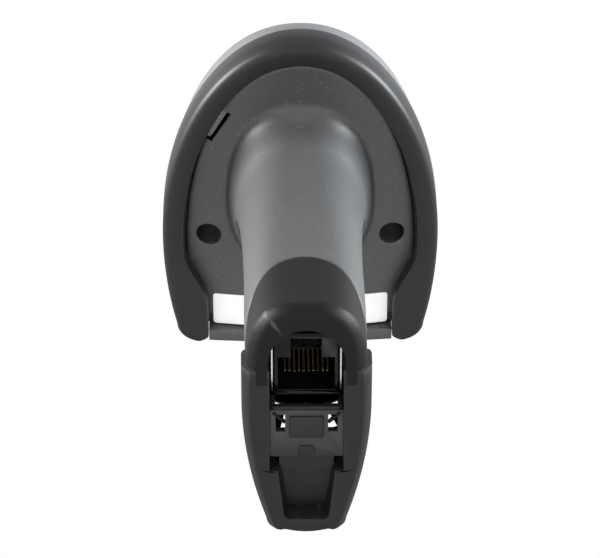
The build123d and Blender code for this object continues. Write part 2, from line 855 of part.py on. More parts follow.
with BuildPart() as trigger:
    with BuildSketch(Plane.YZ):
        with BuildLine():
            outer = Spline(
                front_point(trigger_top_z, 0.6),
                front_point((trigger_top_z + trigger_bottom_z) / 2, 1.0),
                front_point(trigger_bottom_z, 3.6),
            )
            inner = Spline(
                front_point(trigger_bottom_z, 3.6 - trigger_thickness),
                front_point((trigger_top_z + trigger_bottom_z) / 2, 1.0 - trigger_thickness),
                front_point(trigger_top_z, 0.6 - trigger_thickness),
            )
            Line(outer @ 1, inner @ 0)
            Line(inner @ 1, outer @ 0)
        make_face()
    extrude(amount=trigger_width / 2, both=True)
    fillet(trigger.edges().filter_by(GeomType.BSPLINE).group_by(Axis.Y)[0], 1.2)
    # Hub and the web that joins it to the pad.
    with BuildSketch(Plane.YZ):
        with Locations((trigger_pivot_y, trigger_pivot_z)):
            Circle(trigger_hub_radius)
        with Locations((trigger_pivot_y - 3.5, trigger_pivot_z)):
            Rectangle(7.0, 4.0)
    extrude(amount=trigger_width / 2, both=True)
    # Boss that presses the switch.
    with BuildSketch(Plane(origin=(0, grip_front_at(switch_z) + 0.5, switch_z), z_dir=(0, 1, 0))):
        Circle(2.4)
    extrude(amount=5.0)
    # Room for the spring in the middle of the hub.
    with BuildSketch(Plane.YZ):
        with Locations((trigger_pivot_y, trigger_pivot_z)):
            Circle(trigger_hub_radius + 0.1)
    extrude(amount=3.0, both=True, mode=Mode.SUBTRACT)
    with BuildSketch(Plane.YZ):
        with Locations((trigger_pivot_y, trigger_pivot_z)):
            Circle(pin_radius + running_clearance)
    extrude(amount=trigger_width, both=True, mode=Mode.SUBTRACT)
trigger.part.label = "trigger"
export_step(trigger.part, "parts/trigger.step")

with BuildPart() as trigger_pin:
    with BuildSketch(Plane.YZ):
        with Locations((trigger_pivot_y, trigger_pivot_z)):
            Circle(pin_radius)
    extrude(amount=trigger_width / 2 + trigger_side_gap + pin_overhang, both=True)
trigger_pin.part.label = "trigger_pin"
export_step(trigger_pin.part, "parts/trigger_pin.step")

# ---------------------------------------------------------------- front shell of the grip
boss_reach = trigger_width / 2 + trigger_side_gap

with BuildPart() as handle_front:
    add(front_region)
    with BuildSketch(Plane.XY):
        with BuildLine():
            Polyline(
                (beak_root_half, beak_root_y),
                (beak_root_half, beak_root_y + beak_shoulder),
                (-beak_root_half, beak_root_y + beak_shoulder),
                (-beak_root_half, beak_root_y),
            )
            for side in (1, -1):
                ThreePointArc(
                    (side * beak_root_half, beak_root_y),
                    (side * beak_middle_half, (beak_root_y + beak_tip_y) / 2),
                    (side * beak_tip_half, beak_tip_y + beak_crown),
                )
            ThreePointArc(
                (beak_tip_half, beak_tip_y + beak_crown),
                (0, beak_tip_y),
                (-beak_tip_half, beak_tip_y + beak_crown),
            )
        make_face()
    extrude(amount=beak_height)
    # The top of the beak slopes down towards its tip.
    with BuildSketch(Plane.YZ):
        with BuildLine():
            Polyline(
                (beak_tip_y - 1, beak_tip_height),
                (beak_root_y, beak_height),
                (beak_root_y, beak_height + 4),
                (beak_tip_y - 1, beak_height + 4),
                close=True,
            )
        make_face()
    extrude(amount=2 * beak_root_half, both=True, mode=Mode.SUBTRACT)
    # Hollow inside, with the foot's floor left in.
    with BuildPart(mode=Mode.PRIVATE) as grip_hollow:
        add(grip_inner)
        with BuildSketch(Plane.XY.offset(foot_floor)):
            Rectangle(beyond, beyond)
        extrude(amount=overall_height, mode=Mode.INTERSECT)
    add(grip_hollow.part, mode=Mode.SUBTRACT)
    add(well, mode=Mode.SUBTRACT)
    # Pocket in the beak, its floor sloping up to the grip.
    with BuildPart(mode=Mode.PRIVATE) as pocket:
        with BuildSketch(Plane.XY.offset(-1)):
            with BuildLine():
                Polyline(
                    (pocket_root_half, pocket_rear_y + 3),
                    (pocket_tip_half, pocket_tip_y),
                    (-pocket_tip_half, pocket_tip_y),
                    (-pocket_root_half, pocket_rear_y + 3),
                    close=True,
                )
            make_face()
        extrude(amount=pocket_depth + 1)
        with BuildSketch(Plane.YZ):
            with BuildLine():
                Polyline(
                    (pocket_rear_y + 4, 1.0),
                    (pocket_tip_y + 3, pocket_depth - 1.2),
                    (pocket_tip_y + 3, pocket_depth + 1),
                    (pocket_rear_y + 4, pocket_depth + 1),
                    close=True,
                )
            make_face()
        extrude(amount=2 * pocket_root_half, both=True, mode=Mode.SUBTRACT)
    add(pocket.part, mode=Mode.SUBTRACT)
    # Slot through the front wall over the beak.
    with BuildSketch(Plane.XY.offset(slot_low_z)):
        with Locations((0, well_front_y - slot_lead)):
            Rectangle(2 * well_half_width - 1, slot_reach, align=(Align.CENTER, Align.MIN))
    extrude(amount=slot_high_z - slot_low_z, mode=Mode.SUBTRACT)
    # Trigger opening.
    with BuildSketch(Plane.YZ):
        with BuildLine():
            Polyline(
                (grip_front_at(trigger_bottom_z) - 12, trigger_bottom_z - 0.8),
                (grip_front_at(trigger_bottom_z) + 6, trigger_bottom_z - 0.8),
                (grip_front_at(trigger_top_z) + 6, flare_seam_z + 1),
                (grip_front_at(trigger_top_z) - 20, flare_seam_z + 1),
                close=True,
            )
        make_face()
    extrude(amount=boss_reach, both=True, mode=Mode.SUBTRACT)
    # Bosses that hold the ends of the trigger's pin.
    with BuildPart(mode=Mode.PRIVATE) as pin_bosses:
        with BuildSketch(Plane.YZ.offset(boss_reach)):
            with Locations((trigger_pivot_y, trigger_pivot_z)):
                Circle(trigger_hub_radius)
        extrude(amount=head_width / 2)
        mirror(about=Plane.YZ)
        add(grip_outer, mode=Mode.INTERSECT)
    add(pin_bosses.part)
    with BuildSketch(Plane.YZ):
        with Locations((trigger_pivot_y, trigger_pivot_z)):
            Circle(pin_radius)
    extrude(amount=boss_reach + pin_overhang, both=True, mode=Mode.SUBTRACT)
handle_front.part.label = "handle_front"
export_step(handle_front.part, "parts/handle_front.step")

# ---------------------------------------------------------------- trigger spring and switch
spring_wire = 0.25
spring_turns = 4
spring_pitch = 1.0
spring_radius = 1.9
with BuildPart() as trigger_spring:
    with BuildLine() as coil:
        Helix(
            spring_pitch,
            spring_turns * spring_pitch,
            spring_radius,
            center=(-spring_turns * spring_pitch / 2, trigger_pivot_y, trigger_pivot_z),
            direction=(1, 0, 0),
        )
    with BuildSketch(Plane(origin=coil.line @ 0, z_dir=coil.line % 0)):
        Circle(spring_wire)
    sweep(is_frenet=True)
trigger_spring.part.label = "trigger_spring"
export_step(trigger_spring.part, "parts/trigger_spring.step")

boss_end_y = grip_front_at(switch_z) + 5.5
plunger_tip_y = boss_end_y + switch_gap
switch_face_y = plunger_tip_y + 1.8
switch_depth = 3.5
switch_side = 6.2
switch_board_y = switch_face_y + switch_depth


def switch_plane(y):
    """Plane facing the trigger at the switch's height."""
    return Plane(origin=(0, y, switch_z), x_dir=(1, 0, 0), z_dir=(0, -1, 0))


with BuildPart() as trigger_switch:
    with BuildSketch(switch_plane(switch_board_y)):
        RectangleRounded(switch_side, switch_side, 0.5)
    extrude(amount=switch_depth)
    with BuildSketch(switch_plane(switch_face_y)):
        Circle(plunger_radius + running_clearance)
    extrude(amount=-2.8, mode=Mode.SUBTRACT)
trigger_switch.part.label = "trigger_switch"
export_step(trigger_switch.part, "parts/trigger_switch.step")

with BuildPart() as switch_plunger:
    with BuildSketch(switch_plane(plunger_tip_y)):
        Circle(plunger_radius)
    extrude(amount=-2.6)
switch_plunger.part.label = "switch_plunger"
export_step(switch_plunger.part, "parts/switch_plunger.step")

with BuildPart() as switch_board:
    with BuildSketch(switch_plane(switch_board_y)):
        RectangleRounded(16, 20, 1)
    extrude(amount=-board_thickness)
switch_board.part.label = "switch_board"
export_step(switch_board.part, "parts/switch_board.step")

# ---------------------------------------------------------------- jack and its board
jack_front_y = heel_y - 28.0
jack_rear_y = heel_y - 11.8
jack_half_width = 7.2
jack_mouth_z = 6.0
jack_height = 20.0
mouth_half_width = 6.1
mouth_front_y = jack_front_y + 1.3
mouth_depth_y = 8.6
latch_half_width = 3.3
latch_depth_y = 5.0
mouth_depth = 14.0
contact_count = 10
contact_pitch = 1.016
contact_side = 0.36
shield_thickness = 0.3

with BuildPart() as jack_housing:
    with BuildSketch(Plane.XY.offset(jack_mouth_z)):
        with Locations((0, (jack_front_y + jack_rear_y) / 2)):
            RectangleRounded(2 * jack_half_width, jack_rear_y - jack_front_y, 0.5)
        with Locations((0, mouth_front_y + mouth_depth_y / 2)):
            Rectangle(2 * mouth_half_width, mouth_depth_y, mode=Mode.SUBTRACT)
        with Locations((0, mouth_front_y + mouth_depth_y + latch_depth_y / 2 - 0.05)):
            Rectangle(2 * latch_half_width, latch_depth_y + 0.1, mode=Mode.SUBTRACT)
    extrude(amount=mouth_depth)
    with BuildSketch(Plane.XY.offset(jack_mouth_z + mouth_depth)):
        with Locations((0, (jack_front_y + jack_rear_y) / 2)):
            RectangleRounded(2 * jack_half_width, jack_rear_y - jack_front_y, 0.5)
    extrude(amount=jack_height - mouth_depth)
jack_housing.part.label = "jack_housing"
export_step(jack_housing.part, "parts/jack_housing.step")

with BuildPart() as contact_wire:
    with BuildSketch(Plane.YZ):
        with BuildLine():
            Polyline(
                (mouth_front_y + 0.25, jack_mouth_z + mouth_depth - 0.3),
                (mouth_front_y + 2.6, jack_mouth_z + 3.0),
                (mouth_front_y + 2.6 + contact_side, jack_mouth_z + 3.0),
                (mouth_front_y + 0.25 + 1.6 * contact_side, jack_mouth_z + mouth_depth - 0.3),
                close=True,
            )
        make_face()
    extrude(amount=contact_side / 2, both=True)
with BuildPart() as jack_contacts:
    with Locations(
        *[
            ((number - (contact_count - 1) / 2) * contact_pitch, 0, 0)
            for number in range(contact_count)
        ]
    ):
        add(contact_wire.part)
jack_contacts.part.label = "jack_contacts"
export_step(jack_contacts.part, "parts/jack_contacts.step")

with BuildPart() as jack_shield:
    with BuildSketch(Plane.XY.offset(jack_mouth_z)):
        with Locations((0, (jack_front_y + jack_rear_y) / 2)):
            Rectangle(
                2 * (jack_half_width + shield_thickness), jack_rear_y - jack_front_y - 2
            )
            Rectangle(
                2 * jack_half_width, jack_rear_y - jack_front_y, mode=Mode.SUBTRACT
            )
    extrude(amount=jack_height - 2)
jack_shield.part.label = "jack_shield"
export_step(jack_shield.part, "parts/jack_shield.step")

interface_board_y = jack_front_y - board_thickness
interface_low_z = slot_high_z + 1.0
interface_high_z = 62.0
with BuildPart() as interface_board:
    with BuildSketch(Plane.XZ.offset(-jack_front_y)):
        with Locations((0, (interface_low_z + interface_high_z) / 2)):
            RectangleRounded(18, interface_high_z - interface_low_z, 1)
    extrude(amount=board_thickness)
interface_board.part.label = "interface_board"
export_step(interface_board.part, "parts/interface_board.step")

with BuildPart() as interface_connector:
    with BuildSketch(Plane.XZ.offset(-jack_front_y)):
        with Locations((0, interface_high_z - 5)):
            Rectangle(12, 4)
    extrude(amount=-2.5)
interface_connector.part.label = "interface_connector"
export_step(interface_connector.part, "parts/interface_connector.step")

flex_thickness = 0.3
flex_width = 9.0
with BuildPart() as flex_cable:
    with BuildSketch(Plane.YZ):
        with BuildLine():
            FilletPolyline(
                (jack_front_y + 2.5 + flex_thickness, interface_high_z - 6),
                (jack_front_y + 2.5 + flex_thickness, interface_high_z + 3),
                (grip_front_at(100) + 25, 100),
                (grip_front_at(100) + 22, board_z - 3),
                radius=4,
            )
            offset(amount=flex_thickness / 2, side=Side.BOTH)
        make_face()
    extrude(amount=flex_width / 2, both=True)
flex_cable.part.label = "flex_cable"
export_step(flex_cable.part, "parts/flex_cable.step")

# ---------------------------------------------------------------- latch bracket in the foot
bracket_rear_y = jack_front_y - 0.2
bracket_low_z = 0.8
bracket_plate = 1.6
bracket_wall = 1.4
bracket_high_z = slot_low_z - 0.3
bracket_half_width = well_half_width - 0.1
bracket_front_y = well_front_y + 0.1
bracket_window_width = 2.0
bracket_window_length = 4.6
bracket_window_x = 5.6
bracket_window_y = bracket_rear_y - 3.6
with BuildPart() as latch_bracket:
    with BuildSketch(Plane.XY.offset(bracket_low_z)):
        with Locations((0, bracket_front_y)):
            Rectangle(
                2 * bracket_half_width,
                bracket_rear_y - bracket_front_y,
                align=(Align.CENTER, Align.MIN),
            )
    extrude(amount=bracket_high_z - bracket_low_z)
    # Hollow above the plate, open at the rear, with a wall at the front and a rail each side.
    with BuildSketch(Plane.XY.offset(bracket_low_z + bracket_plate)):
        with Locations((0, bracket_front_y + bracket_wall)):
            Rectangle(
                2 * (bracket_half_width - bracket_wall),
                bracket_rear_y - bracket_front_y,
                align=(Align.CENTER, Align.MIN),
            )
    extrude(amount=bracket_high_z, mode=Mode.SUBTRACT)
    with BuildSketch(Plane.XY.offset(bracket_low_z)):
        with Locations(
            *[(side * bracket_window_x, bracket_window_y) for side in (1, -1)]
        ):
            Rectangle(bracket_window_width, bracket_window_length)
    extrude(amount=bracket_high_z, mode=Mode.SUBTRACT)
latch_bracket.part.label = "latch_bracket"
export_step(latch_bracket.part, "parts/latch_bracket.step")

# ---------------------------------------------------------------- label
label_width = 43.0
label_depth = 9.0
label_y = shell_front_y + 0.6 + label_depth / 2
label_thickness = 0.15
with BuildPart() as rating_label:
    with BuildSketch(Plane.XY.offset(underside_z - 1)):
        with Locations((0, label_y)):
            RectangleRounded(label_width, label_depth, 0.8)
    extrude(amount=underside_crown + 1)
    with Locations((0, 0, underside_z + crown_radius)):
        Cylinder(
            crown_radius + label_thickness, beyond, rotation=(90, 0, 0), mode=Mode.INTERSECT
        )
    with Locations((0, 0, underside_z + crown_radius)):
        Cylinder(crown_radius, beyond, rotation=(90, 0, 0), mode=Mode.SUBTRACT)
rating_label.part.label = "rating_label"
export_step(rating_label.part, "parts/rating_label.step")
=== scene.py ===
import math

import bmesh
import bpy
import numpy as np
from mathutils import Matrix, Vector


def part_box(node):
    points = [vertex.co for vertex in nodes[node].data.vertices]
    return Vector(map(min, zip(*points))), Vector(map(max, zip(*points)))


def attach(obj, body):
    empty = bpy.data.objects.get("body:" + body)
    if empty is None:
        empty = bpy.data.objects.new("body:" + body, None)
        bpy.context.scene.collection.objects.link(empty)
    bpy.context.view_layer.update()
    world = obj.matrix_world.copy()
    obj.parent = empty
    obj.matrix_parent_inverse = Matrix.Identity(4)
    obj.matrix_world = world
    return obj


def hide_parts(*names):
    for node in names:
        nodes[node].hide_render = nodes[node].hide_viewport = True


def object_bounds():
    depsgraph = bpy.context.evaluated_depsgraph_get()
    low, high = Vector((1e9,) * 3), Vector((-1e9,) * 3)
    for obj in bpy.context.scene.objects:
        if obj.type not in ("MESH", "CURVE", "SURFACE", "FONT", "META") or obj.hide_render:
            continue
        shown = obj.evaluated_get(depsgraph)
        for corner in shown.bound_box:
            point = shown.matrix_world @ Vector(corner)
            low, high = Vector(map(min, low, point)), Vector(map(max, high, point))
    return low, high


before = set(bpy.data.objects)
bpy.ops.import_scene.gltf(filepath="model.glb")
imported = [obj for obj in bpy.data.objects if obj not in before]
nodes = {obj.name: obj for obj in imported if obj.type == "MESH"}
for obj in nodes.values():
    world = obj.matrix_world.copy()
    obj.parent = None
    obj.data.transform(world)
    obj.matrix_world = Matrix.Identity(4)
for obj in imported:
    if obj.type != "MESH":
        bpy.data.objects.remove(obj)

cad_low, cad_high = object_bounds()
mm = 0.001


# ---------------------------------------------------------------- lower housing
# The underside of the head and the rear of the handle are one injection moulding in dark
# grey ABS. The tool is spark-eroded, so the skin is a fine even grain with a dry sheen.
# Sizes are millimetres, and the driving ones come from the frame.
nose_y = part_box("front_bezel")[0].y / mm
tail_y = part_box("bumper")[1].y / mm
head_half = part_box("bumper")[1].x / mm
split_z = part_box("bumper")[1].z / mm
bumper_height = 7.0
underside_z = split_z - bumper_height
heel_y = tail_y + 10.0
tail_length = 56.0  # from the tail to the head's widest place
wide_y = tail_y - tail_length
nose_half = 30.5
nose_crown = 1.5
nose_corner = 5.0
lean = 35.0 / underside_z  # how far the heel line runs forward for each millimetre up
crown_radius = 130.3  # of the underside's slight crown, from side to side
bumper_wall = 2.2
shell_front_y = nose_y + 4.0
housing_wall = 1.2
weld_distance = 0.01  # points nearer than this become one
sliver_length = 0.002
grip_power = 2.7  # exponent of the grip's section: 2 is an ellipse, more is boxier
seam_angle = 0.09
flare_height = 20.0
flare_side, flare_rear = 2.6, 6.4  # the root's spread at the sides, and what the rear adds
seam_drop = 7.0  # the front shell starts this far under the head
arch_base, arch_rise, arch_half = 8.0, 22.0, 13.3


def smooth(share):
    """Runs from 0 to 1 with a level start and end, as 3s^2 - 2s^3."""
    share = np.clip(share, 0.0, 1.0)
    return share * share * (3.0 - 2.0 * share)


def waisted(foot, waist, root, share):
    """Parabolas that meet level at the waist, two fifths of the way up."""
    low_part = waist + (foot - waist) * (1.0 - share / 0.4) ** 2
    high_part = waist + (root - waist) * ((share - 0.4) / 0.6) ** 2
    return np.where(share < 0.4, low_part, high_part)


def grip_point(angle, height, spread):
    """Point on the grip: superellipse |x/a|^n + |y/b|^n = 1 about the leaning centre line."""
    share = height / underside_z
    half = waisted(12.8, 13.4, 15.6, share)
    depth = waisted(36.5, 35.0, 41.0, share)
    power = 2.0 / (grip_power - 0.65 * smooth((height - 20.0) / 90.0))
    across = np.sign(np.cos(angle)) * np.abs(np.cos(angle)) ** power
    along = np.sign(np.sin(angle)) * np.abs(np.sin(angle)) ** power
    middle = heel_y - lean * height - depth / 2.0
    return (half + spread) * across, middle + (depth / 2.0 + spread) * along


def head_plan(inset, front_y):
    """Outline of the head: half-ellipse tail, parabolic sides, rounded corners, crowned nose."""
    half, front_half, corner = head_half - inset, nose_half - inset, nose_corner - inset / 2.0
    turn = np.linspace(0.0, math.pi / 2.0, 120)
    tail = np.stack([half * np.cos(turn), wide_y + (tail_length - inset) * np.sin(turn)], 1)[::-1]
    corner_y = nose_y + inset + nose_crown * ((front_half - corner) / front_half) ** 2 + corner
    share = np.linspace(0.0, 1.0, 40)[1:]
    side = np.stack([half - (half - front_half) * share**2,
                     wide_y + (corner_y - wide_y) * share], 1)
    turn = np.linspace(0.0, math.pi / 2.0, 16)[1:]
    bend = np.stack([front_half - corner + corner * np.cos(turn),
                     corner_y - corner * np.sin(turn)], 1)
    x = np.linspace(front_half - corner, 0.0, 30)[1:]
    nose = np.stack([x, nose_y + inset + nose_crown * (x / front_half) ** 2], 1)
    right = np.concatenate([tail, side, bend, nose])
    left = right[::-1] * [-1.0, 1.0]
    plan = np.concatenate([right, left[1:]])
    plan[:, 1] = np.maximum(plan[:, 1], front_y)
    return plan


def grid_faces(rows, columns, start, wraps):
    """Quads between neighbouring rows and columns of a grid whose points start at an index."""
    across = np.arange(columns if wraps else columns - 1)
    down = np.arange(rows - 1)[:, None]
    here, there = across, (across + 1) % columns
    first = start + down * columns
    return np.stack([first + here, first + there, first + columns + there,
                     first + columns + here], -1).reshape(-1, 4)


def placed(name, mesh):
    """Links a mesh to the scene as a piece, at the origin."""
    piece = bpy.data.objects.new(name, mesh)
    bpy.context.collection.objects.link(piece)
    return piece


def surface(name, grids, wraps=False, flip=False):
    """One mesh piece from grids of points in millimetres, with doubled points welded."""
    points, faces, start = [], [], 0
    for grid in grids:
        rows, columns = grid.shape[:2]
        quads = grid_faces(rows, columns, start, wraps)
        faces.append(quads[:, ::-1] if flip else quads)
        points.append(grid.reshape(-1, 3) * mm)
        start += rows * columns
    points, faces = np.concatenate(points), np.concatenate(faces)
    mesh = bpy.data.meshes.new(name)
    mesh.from_pydata(points.tolist(), [], faces.tolist())
    work = bmesh.new()
    work.from_mesh(mesh)
    bmesh.ops.remove_doubles(work, verts=work.verts, dist=weld_distance * mm)
    bmesh.ops.dissolve_degenerate(work, edges=work.edges, dist=sliver_length * mm)
    work.to_mesh(mesh)
    work.free()
    return placed(name, mesh)


def shade(piece, angle=35.0):
    """Smooth shading, kept sharp where faces meet at more than an angle in degrees."""
    piece.data.shade_smooth()
    piece.data.set_sharp_from_angle(angle=math.radians(angle))
    return piece


def settle(piece):
    """Bakes a piece's modifiers into its mesh."""
    bpy.context.view_layer.update()
    done = bpy.data.meshes.new_from_object(
        piece.evaluated_get(bpy.context.evaluated_depsgraph_get()))
    piece.modifiers.clear()
    piece.data = done
    return piece


def thicken(piece, thickness):
    """Gives an outer surface a wall on its inside, in millimetres."""
    wall = piece.modifiers.new("wall", "SOLIDIFY")
    wall.thickness = thickness * mm
    wall.offset = -1.0
    wall.use_even_offset = True
    wall.thickness_clamp = 1.0
    return settle(piece)


def cut(piece, cutter):
    """Cuts a closed mesh out of a piece and removes the cutter."""
    knife = piece.modifiers.new("cut", "BOOLEAN")
    knife.operation = "DIFFERENCE"
    knife.object = cutter
    knife.solver = "EXACT"
    settle(piece)
    bpy.data.objects.remove(cutter)
    return piece


def turned(name, profile, centre, steps=48, flip=False):
    """Profile of (radius, height) pairs turned about a vertical line, closed along itself."""
    turn = np.linspace(0.0, 2.0 * math.pi, steps, endpoint=False)
    radius, height = np.array(profile).T[:, :, None]
    grid = np.stack(np.broadcast_arrays(centre[0] + radius * np.cos(turn),
                                        centre[1] + radius * np.sin(turn), height), -1)
    return surface(name, [grid], wraps=True, flip=flip)


def prism(name, corners, low_z, high_z):
    """Closed upright prism on a list of plan corners, given anticlockwise from above."""
    plan = np.array(corners, float)
    count = len(plan)
    points = np.concatenate([np.column_stack([plan, np.full(count, z)]) for z in (low_z, high_z)])
    sides = [(i, (i + 1) % count, count + (i + 1) % count, count + i) for i in range(count)]
    faces = [tuple(range(count))[::-1], tuple(range(count, 2 * count))] + sides
    mesh = bpy.data.meshes.new(name)
    mesh.from_pydata((points * mm).tolist(), [], faces)
    return placed(name, mesh)


def merge(piece, *others):
    """Joins other pieces' meshes into a piece."""
    work = bmesh.new()
    for item in (piece, *others):
        work.from_mesh(item.data)
    mesh = bpy.data.meshes.new(piece.name)
    work.to_mesh(mesh)
    work.free()
    piece.data = mesh
    for item in others:
        bpy.data.objects.remove(item)
    return piece


def finish_piece(piece, material, slot, body, *replaced):
    """Material, body and stand-in of a finished piece; the slot argument is not used."""
    piece.data.materials.clear()
    piece.data.materials.append(material)
    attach(piece, body)
    if replaced:
        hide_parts(*replaced)
    return piece


rear_angles = np.linspace(-seam_angle, math.pi + seam_angle, 121)
front_angles = np.linspace(math.pi + seam_angle, 2.0 * math.pi - seam_angle, 101)
all_angles = np.concatenate([rear_angles, front_angles[1:-1]])


def flare_rows(angles, turns):
    """Rows of the fillet at the root: out by R(1 - sin t) and down by H(1 - cos t)."""
    rear = np.maximum(np.sin(angles), 0.0)
    reach = flare_side + flare_rear * rear**2
    turns = turns[:, None]
    drop = flare_height * (1.0 - np.cos(turns))
    x, y = grip_point(angles[None, :], underside_z - drop, reach * (1.0 - np.sin(turns)))
    z = underside_z - drop + x * x / (2.0 * crown_radius) * np.cos(turns) ** 2
    return np.stack([x, y, z + 0.0 * x], -1)


seam_turn = math.acos(1.0 - seam_drop / flare_height)
root_top = flare_rows(all_angles, np.linspace(0.0, seam_turn, 10))
plan = head_plan(bumper_wall, shell_front_y)
centre_y = heel_y - lean * underside_z - 20.5
bearing = np.arctan2(plan[:, 1] - centre_y, plan[:, 0])
reach_out = np.hypot(plan[:, 1] - centre_y, plan[:, 0])
order = np.argsort(bearing)
inner_edge = root_top[0]
wanted = np.arctan2(inner_edge[:, 1] - centre_y, inner_edge[:, 0])
far = np.interp(wanted, bearing[order], reach_out[order], period=2.0 * math.pi)
rim = np.stack([far * np.cos(wanted), centre_y + far * np.sin(wanted)], -1)
# A fine groove runs round inside the bumper's lip: its edges' distances from the rim.
length = np.hypot(*(rim - inner_edge[:, :2]).T)
groove = np.array([0.0, 3.5, 3.62, 3.95, 4.15])[:, None] / length
share = np.linspace(0.0, 1.0, 14)[1:, None]
share = np.concatenate([groove, groove[-1] + (1.0 - groove[-1]) * share])[..., None]
flat = rim[None] * (1.0 - share) + inner_edge[None, :, :2] * share
tray = np.concatenate([flat, underside_z + flat[..., :1] ** 2 / (2.0 * crown_radius)], -1)
tray[:3, :, 2] += 1.4
tray[3, :, 2] += 0.12
rim_wall = np.concatenate([rim, np.full((len(rim), 1), split_z - 0.05)], -1)[None]
head_grid = np.concatenate([rim_wall, tray, root_top[1:]])


def arch_height(angles):
    """Height of the arched joint: an ellipse seen from the rear, on the grip's surface."""
    x, _ = grip_point(angles, np.full(angles.shape, 16.0), 0.0)
    return arch_base + arch_rise * np.sqrt(np.maximum(1.0 - (x / arch_half) ** 2, 0.0))


def grip_rows(angles, heights, spreads):
    """Rows of the grip's surface at heights and spreads, each a number or a row of numbers."""
    rows = []
    for height, spread in zip(heights, spreads):
        z = height + 0.0 * angles
        x, y = grip_point(angles, z, spread)
        rows.append(np.stack([x, y, z], -1))
    return np.stack(rows)


root_low = flare_rows(rear_angles, np.linspace(seam_turn, math.pi / 2.0, 12))
flare_foot_z = underside_z - flare_height
joint = arch_height(rear_angles)
steps = np.linspace(0.0, 1.0, 40)
heights = [flare_foot_z + (joint + 0.5 - flare_foot_z) * s for s in steps[1:]]
heights += [joint + 0.22, joint + 0.12, joint + 0.1]
spreads = [0.0] * 39 + [-0.12, -0.4, -1.0]
grip_grid = grip_rows(rear_angles, heights, spreads)
housing = surface("lower_housing_shell", [head_grid], wraps=True, flip=True)
grip_rear = surface("grip_rear", [np.concatenate([root_low, grip_grid])], flip=True)
housing = merge(housing, grip_rear)
work = bmesh.new()
work.from_mesh(housing.data)
bmesh.ops.remove_doubles(work, verts=work.verts, dist=weld_distance * mm)
work.to_mesh(housing.data)
work.free()
thicken(housing, housing_wall)
screw_x, screw_y, well_radius = 22.3, wide_y, 3.1
for side in (-1.0, 1.0):
    cut(housing, turned("cutter", [(0.0, 110.0), (well_radius, 110.0), (well_radius, 121.0),
                                   (0.0, 121.0)], (side * screw_x, screw_y)))
slot_turn = math.radians(-60.0)
along = np.array([math.cos(slot_turn), math.sin(slot_turn)])
slot_middle = np.array([20.0, tail_y - 23.75])


def slot_corners(length, width):
    """Plan corners of a slot in line with the outline beside it."""
    across = np.array([-along[1], along[0]])
    return [slot_middle + along * length * a / 2.0 + across * width * b / 2.0
            for a, b in ((-1, -1), (1, -1), (1, 1), (-1, 1))]


cut(housing, prism("cutter", slot_corners(9.5, 2.6), 110.0, 121.0))
wells = []
for side in (-1.0, 1.0):
    lip = underside_z + screw_x**2 / (2.0 * crown_radius)
    wells.append(turned("well", [
        (well_radius + 1.0, lip + 1.2), (well_radius + 0.05, lip + 0.5),
        (well_radius - 0.05, lip + 0.6), (well_radius, lip + 2.0),
        (well_radius - 0.1, split_z + 6.0), (1.7, split_z + 6.0),
        (1.7, split_z + 8.0), (well_radius + 1.0, split_z + 8.0), (well_radius + 1.0, lip + 1.2)],
        (side * screw_x, screw_y), flip=True))
merge(housing, *wells)
shade(housing)


